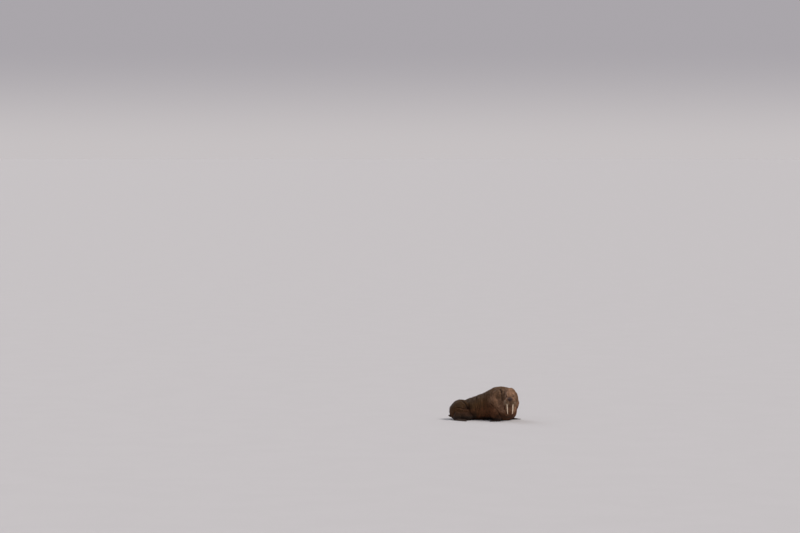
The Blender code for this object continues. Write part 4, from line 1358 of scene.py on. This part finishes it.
class WALRUS_OT_whiskers(Operator):
    """Adds the stout whiskers of both lip pads, longest low down and outside"""

    bl_idname = "walrus.whiskers"
    bl_label = "Whiskers"

    def execute(self, context):
        sizes, colours = context.scene.walrus_sizes, context.scene.walrus_colours
        draw = np.random.default_rng(WHISKER_SEED)
        tree = skin_tree()
        paths, radii = [], []
        for side in SIDES.values():
            for row in range(sizes.whisker_rows):
                high = row / (sizes.whisker_rows - 1)
                for column in range(sizes.whiskers_a_row):
                    out = (column + 0.5 * (row % 2)) / (sizes.whiskers_a_row - 0.5)
                    found = whisker(tree, sizes, draw, side, high, out)
                    if found:
                        paths.append(found[0])
                        radii.append(found[1])
        piece, _, share = tapered("whiskers", np.array(paths), np.array(radii), sides=5)
        write_marks(piece, {"tip": share})
        material = horn_material("Whisker horn", colours.horn, 0.4, darker(colours.nose, 0.5))
        finish_piece(piece, material)
        return {"FINISHED"}


class WALRUS_OT_claws(Operator):
    """Adds a small nail on the upper side of each digit"""

    bl_idname = "walrus.claws"
    bl_label = "Claws"

    def execute(self, context):
        sizes, colours = context.scene.walrus_sizes, context.scene.walrus_colours
        tree = skin_tree()
        up = Vector((0, 0, 1))
        paths = []
        for ray, reach, _, web in digit_rays():
            way = ray.to_3x3() @ Vector((1, 0, 0))
            place, normal, _, _ = tree.ray_cast(ray.translation + way * (reach * 0.90) + up * 0.12, -up)
            if web or place is None or normal.dot(up) < 0.2:
                continue
            lie = (way - normal * way.dot(normal)).normalized()
            path = [place - lie * 0.006 - normal * 0.002]
            for k, lift in enumerate(CLAW_LIFTS):
                path.append(place + lie * (sizes.claw_length * k / CLAW_STEPS) + normal * lift)
            paths.append([tuple(spot) for spot in path])
        widths = np.array([CLAW_WIDTHS] * len(paths))
        piece = tapered("claws", np.array(paths), widths, sides=10, flat=0.62)[0]
        modify(piece, "SUBSURF", levels=1, render_levels=1)
        write_marks(piece, {"tip": np.ones(len(piece.data.vertices))})
        finish_piece(piece, horn_material("Claw horn", colours.claw, 0.55, colours.bare))
        return {"FINISHED"}


def hair_share(middles, marks, corners):
    """How thick the coat is on each triangle: 0 on bare skin, nose and lids and by the tusks, and else 1."""
    share = 1 - marks["bare"][corners].mean(axis=1)
    share *= 1 - marks["nose"][corners].mean(axis=1)
    share *= ease(tusk_gap(middles), 0.004, 0.02)
    for word in SIDES:
        centre, _, way = eye_of(word)
        share *= ease(away(middles, centre + way * EYE_LOOK), 0.022, 0.032)
    return share


def hair_paths(draw, root, normal, ahead, longest):
    """The root and tip of each hair, which lies back and a little down over the skin."""
    lie = -ahead + np.array((0, 0, -0.35)) + draw.normal(0, 0.22, root.shape)
    lie -= normal * np.sum(lie * normal, axis=1)[:, None]
    lie /= np.linalg.norm(lie, axis=1)[:, None]
    head = ease(np.linalg.norm(inside(HEAD, root), axis=1), 0.36, 0.20)
    long = longest * draw.uniform(0.55, 1.0, len(root)) * (1 - 0.45 * head)
    lift = draw.uniform(0.16, 0.34, len(root))
    tip = root + (lie + normal * lift[:, None]) * long[:, None]
    tip[:, 2] = np.maximum(tip[:, 2], 0.001)
    return np.stack((root - normal * HAIR_SINK, tip), axis=1)


def bake_map(piece, station, angle, share, hair):
    """Unrolls the skin along the body, and lays each hair as a small patch at its root's place there."""
    spot = np.arange(len(hair)) % 4
    spread = np.where(spot == 3, 0.5, spot / 2)
    u = (0.02 + 0.95 * np.clip(station / SPINE_LENGTH, 0, 1))[hair] + BAKE_PATCH * spread
    v = (0.02 + 0.95 * (angle + math.pi) / (2 * math.pi))[hair] + BAKE_PATCH * share
    corner = numbers(piece.data.loops, "vertex_index", np.int64, 1)
    layer = piece.data.uv_layers.new(name="OFBake")
    layer.data.foreach_set("uv", np.column_stack((u, v))[corner].astype(np.float32).ravel())


class WALRUS_OT_coat(Operator):
    """Grows the short hair that lies back over the skin, in a front and a back half"""

    bl_idname = "walrus.coat"
    bl_label = "Coat"

    def execute(self, context):
        sizes = context.scene.walrus_sizes
        skin = bpy.data.objects["walrus_skin"]
        skin.data.calc_loop_triangles()
        corners = numbers(skin.data.loop_triangles, "vertices", np.int64)
        points, normals = places(skin), slopes(skin)
        a, b, c = (points[corners[:, k]] for k in range(3))
        area = np.linalg.norm(np.cross(b - a, c - a), axis=1) / 2
        middles = (a + b + c) / 3
        along = along_body(middles)[0]
        layers = skin.data.attributes
        marks = {name: numbers(layers[name].data, "value", np.float32, 1) for name in (*MARKS, "hollow")}
        hairy = hair_share(middles, marks, corners)
        draw = np.random.default_rng(COAT_SEED)
        material = hair_material(context.scene.walrus_colours)
        for name, chosen in (("coat_back", along < COAT_SPLIT), ("coat_front", along >= COAT_SPLIT)):
            weight = area * hairy * chosen
            picked = corners[draw.choice(len(area), sizes.hairs, p=weight / weight.sum())]
            mix = draw.dirichlet((1.0, 1.0, 1.0), sizes.hairs)
            root = np.einsum("nk,nkx->nx", mix, points[picked])
            normal = np.einsum("nk,nkx->nx", mix, normals[picked])
            normal /= np.linalg.norm(normal, axis=1)[:, None]
            station, angle, ahead = along_body(root)
            paths = hair_paths(draw, root, normal, ahead, sizes.hair_length)
            radius = np.column_stack((0.00038 + 0.00030 * draw.random(len(root)), np.zeros(len(root))))
            piece, hair, share = tapered(name, paths, radius, sides=3)
            # Each hair takes the skin's markings at its root, the painted light and shade among them
            for label, values in marks.items():
                write_marks(piece, {label: np.einsum("nk,nk->n", mix, values[picked])[hair]})
            write_marks(piece, {"tip": share})
            bake_map(piece, station, angle, share, hair)
            finish_piece(piece, material)
        return {"FINISHED"}


def add_floor(tint):
    """A wide plain floor, very slightly blotched."""
    deselect()
    bpy.ops.mesh.primitive_circle_add(vertices=96, radius=FLOOR_RADIUS, fill_type="NGON", location=(0, 0, 0))
    floor = bpy.context.object
    floor.name = "floor"
    material, tree, shader, vector = new_material("Pale floor", 0.85, Specular_IOR_Level=0.2)
    blotched = grouped(tree, "Blotches", Vector=vector, Scale=0.6)["Mask"]
    shown = blend(tree, blotched, tint, darker(tint, 0.985))
    tree.links.new(shown, shader.inputs["Base Color"])
    floor.data.materials.append(material)


def surround(stage):
    """Soft light from all round, hazy where it meets the floor."""
    world = bpy.data.worlds.new("Soft surround")
    world.use_nodes = True
    tree = world.node_tree
    way = put(tree, "ShaderNodeTexCoord").outputs["Generated"]
    high = ranged(tree, put(tree, "ShaderNodeSeparateXYZ", {0: way}).outputs["Z"], 0.0, 0.035)
    tree.links.new(blend(tree, high, stage.haze, stage.sky), tree.nodes["Background"].inputs["Color"])
    return world


def viewpoint(scale):
    """A far camera with a long lens, which looks down at the animal's right side."""
    distance = FOCAL * scale
    turn, lift = math.radians(CAMERA_TURN), math.radians(CAMERA_HEIGHT)
    deep = Vector((-math.sin(turn), math.cos(turn), 0))
    aim = ORIGIN + deep * AIM_PAST
    bpy.ops.object.camera_add(
        location=aim - deep * distance * math.cos(lift) + Vector((0, 0, distance * math.sin(lift))),
        rotation=(math.pi / 2 - math.atan(LEVEL_UP / FOCAL), 0, turn + math.atan(AIM_RIGHT / FOCAL)),
    )
    camera = bpy.context.object
    camera.data.lens = SENSOR * FOCAL / VIEW_WIDE
    camera.data.clip_end = VIEW_FAR
    return camera


class WALRUS_OT_stage(Operator):
    """Sets up the pale floor, the soft lights and the camera"""

    bl_idname = "walrus.stage"
    bl_label = "Stage"

    def execute(self, context):
        stage = context.scene.walrus_stage
        add_floor(stage.floor)
        context.scene.world = surround(stage)
        for name, azimuth, height, share, wide, tint in SUNS:
            bpy.ops.object.light_add(type="SUN", location=(0, 0, 5))
            light = bpy.context.object
            light.name = name
            light.data.energy = stage.key_strength * share
            light.data.angle = math.radians(wide)
            light.data.color = tint
            light.rotation_euler = (math.radians(90 - height), 0, math.radians(azimuth))
        context.scene.camera = viewpoint(stage.scale)
        context.scene.view_settings.view_transform = "Standard"
        return {"FINISHED"}


OPERATORS = (
    WALRUS_OT_skin,
    WALRUS_OT_eyes,
    WALRUS_OT_tusks,
    WALRUS_OT_whiskers,
    WALRUS_OT_claws,
    WALRUS_OT_coat,
    WALRUS_OT_stage,
)
SETTINGS = {"walrus_sizes": WalrusSizes, "walrus_colours": WalrusColours, "walrus_stage": WalrusStage}


class WALRUS_PT_pieces(Panel):
    """Lists the pieces of the walrus and what can be changed on them"""

    bl_idname = "WALRUS_PT_pieces"
    bl_label = "Walrus"
    bl_space_type = "VIEW_3D"
    bl_region_type = "UI"
    bl_category = "Walrus"

    def draw(self, context):
        for name, settings in SETTINGS.items():
            box = self.layout.box()
            for label in settings.__annotations__:
                box.prop(getattr(context.scene, name), label)
        for operator in OPERATORS:
            self.layout.operator(operator.bl_idname)


def register():
    for settings in SETTINGS.values():
        bpy.utils.register_class(settings)
    for operator in OPERATORS:
        bpy.utils.register_class(operator)
    bpy.utils.register_class(WALRUS_PT_pieces)
    for name, settings in SETTINGS.items():
        setattr(bpy.types.Scene, name, PointerProperty(type=settings))


def unregister():
    for name in SETTINGS:
        delattr(bpy.types.Scene, name)
    bpy.utils.unregister_class(WALRUS_PT_pieces)
    for operator in reversed(OPERATORS):
        bpy.utils.unregister_class(operator)
    for settings in reversed(SETTINGS.values()):
        bpy.utils.unregister_class(settings)


def main():
    """Builds every piece and the stage."""
    register()
    bpy.ops.walrus.skin()
    bpy.ops.walrus.eyes()
    bpy.ops.walrus.tusks()
    bpy.ops.walrus.whiskers()
    bpy.ops.walrus.claws()
    bpy.ops.walrus.coat()
    bpy.ops.walrus.stage()


if __name__ == "__main__":
    main()
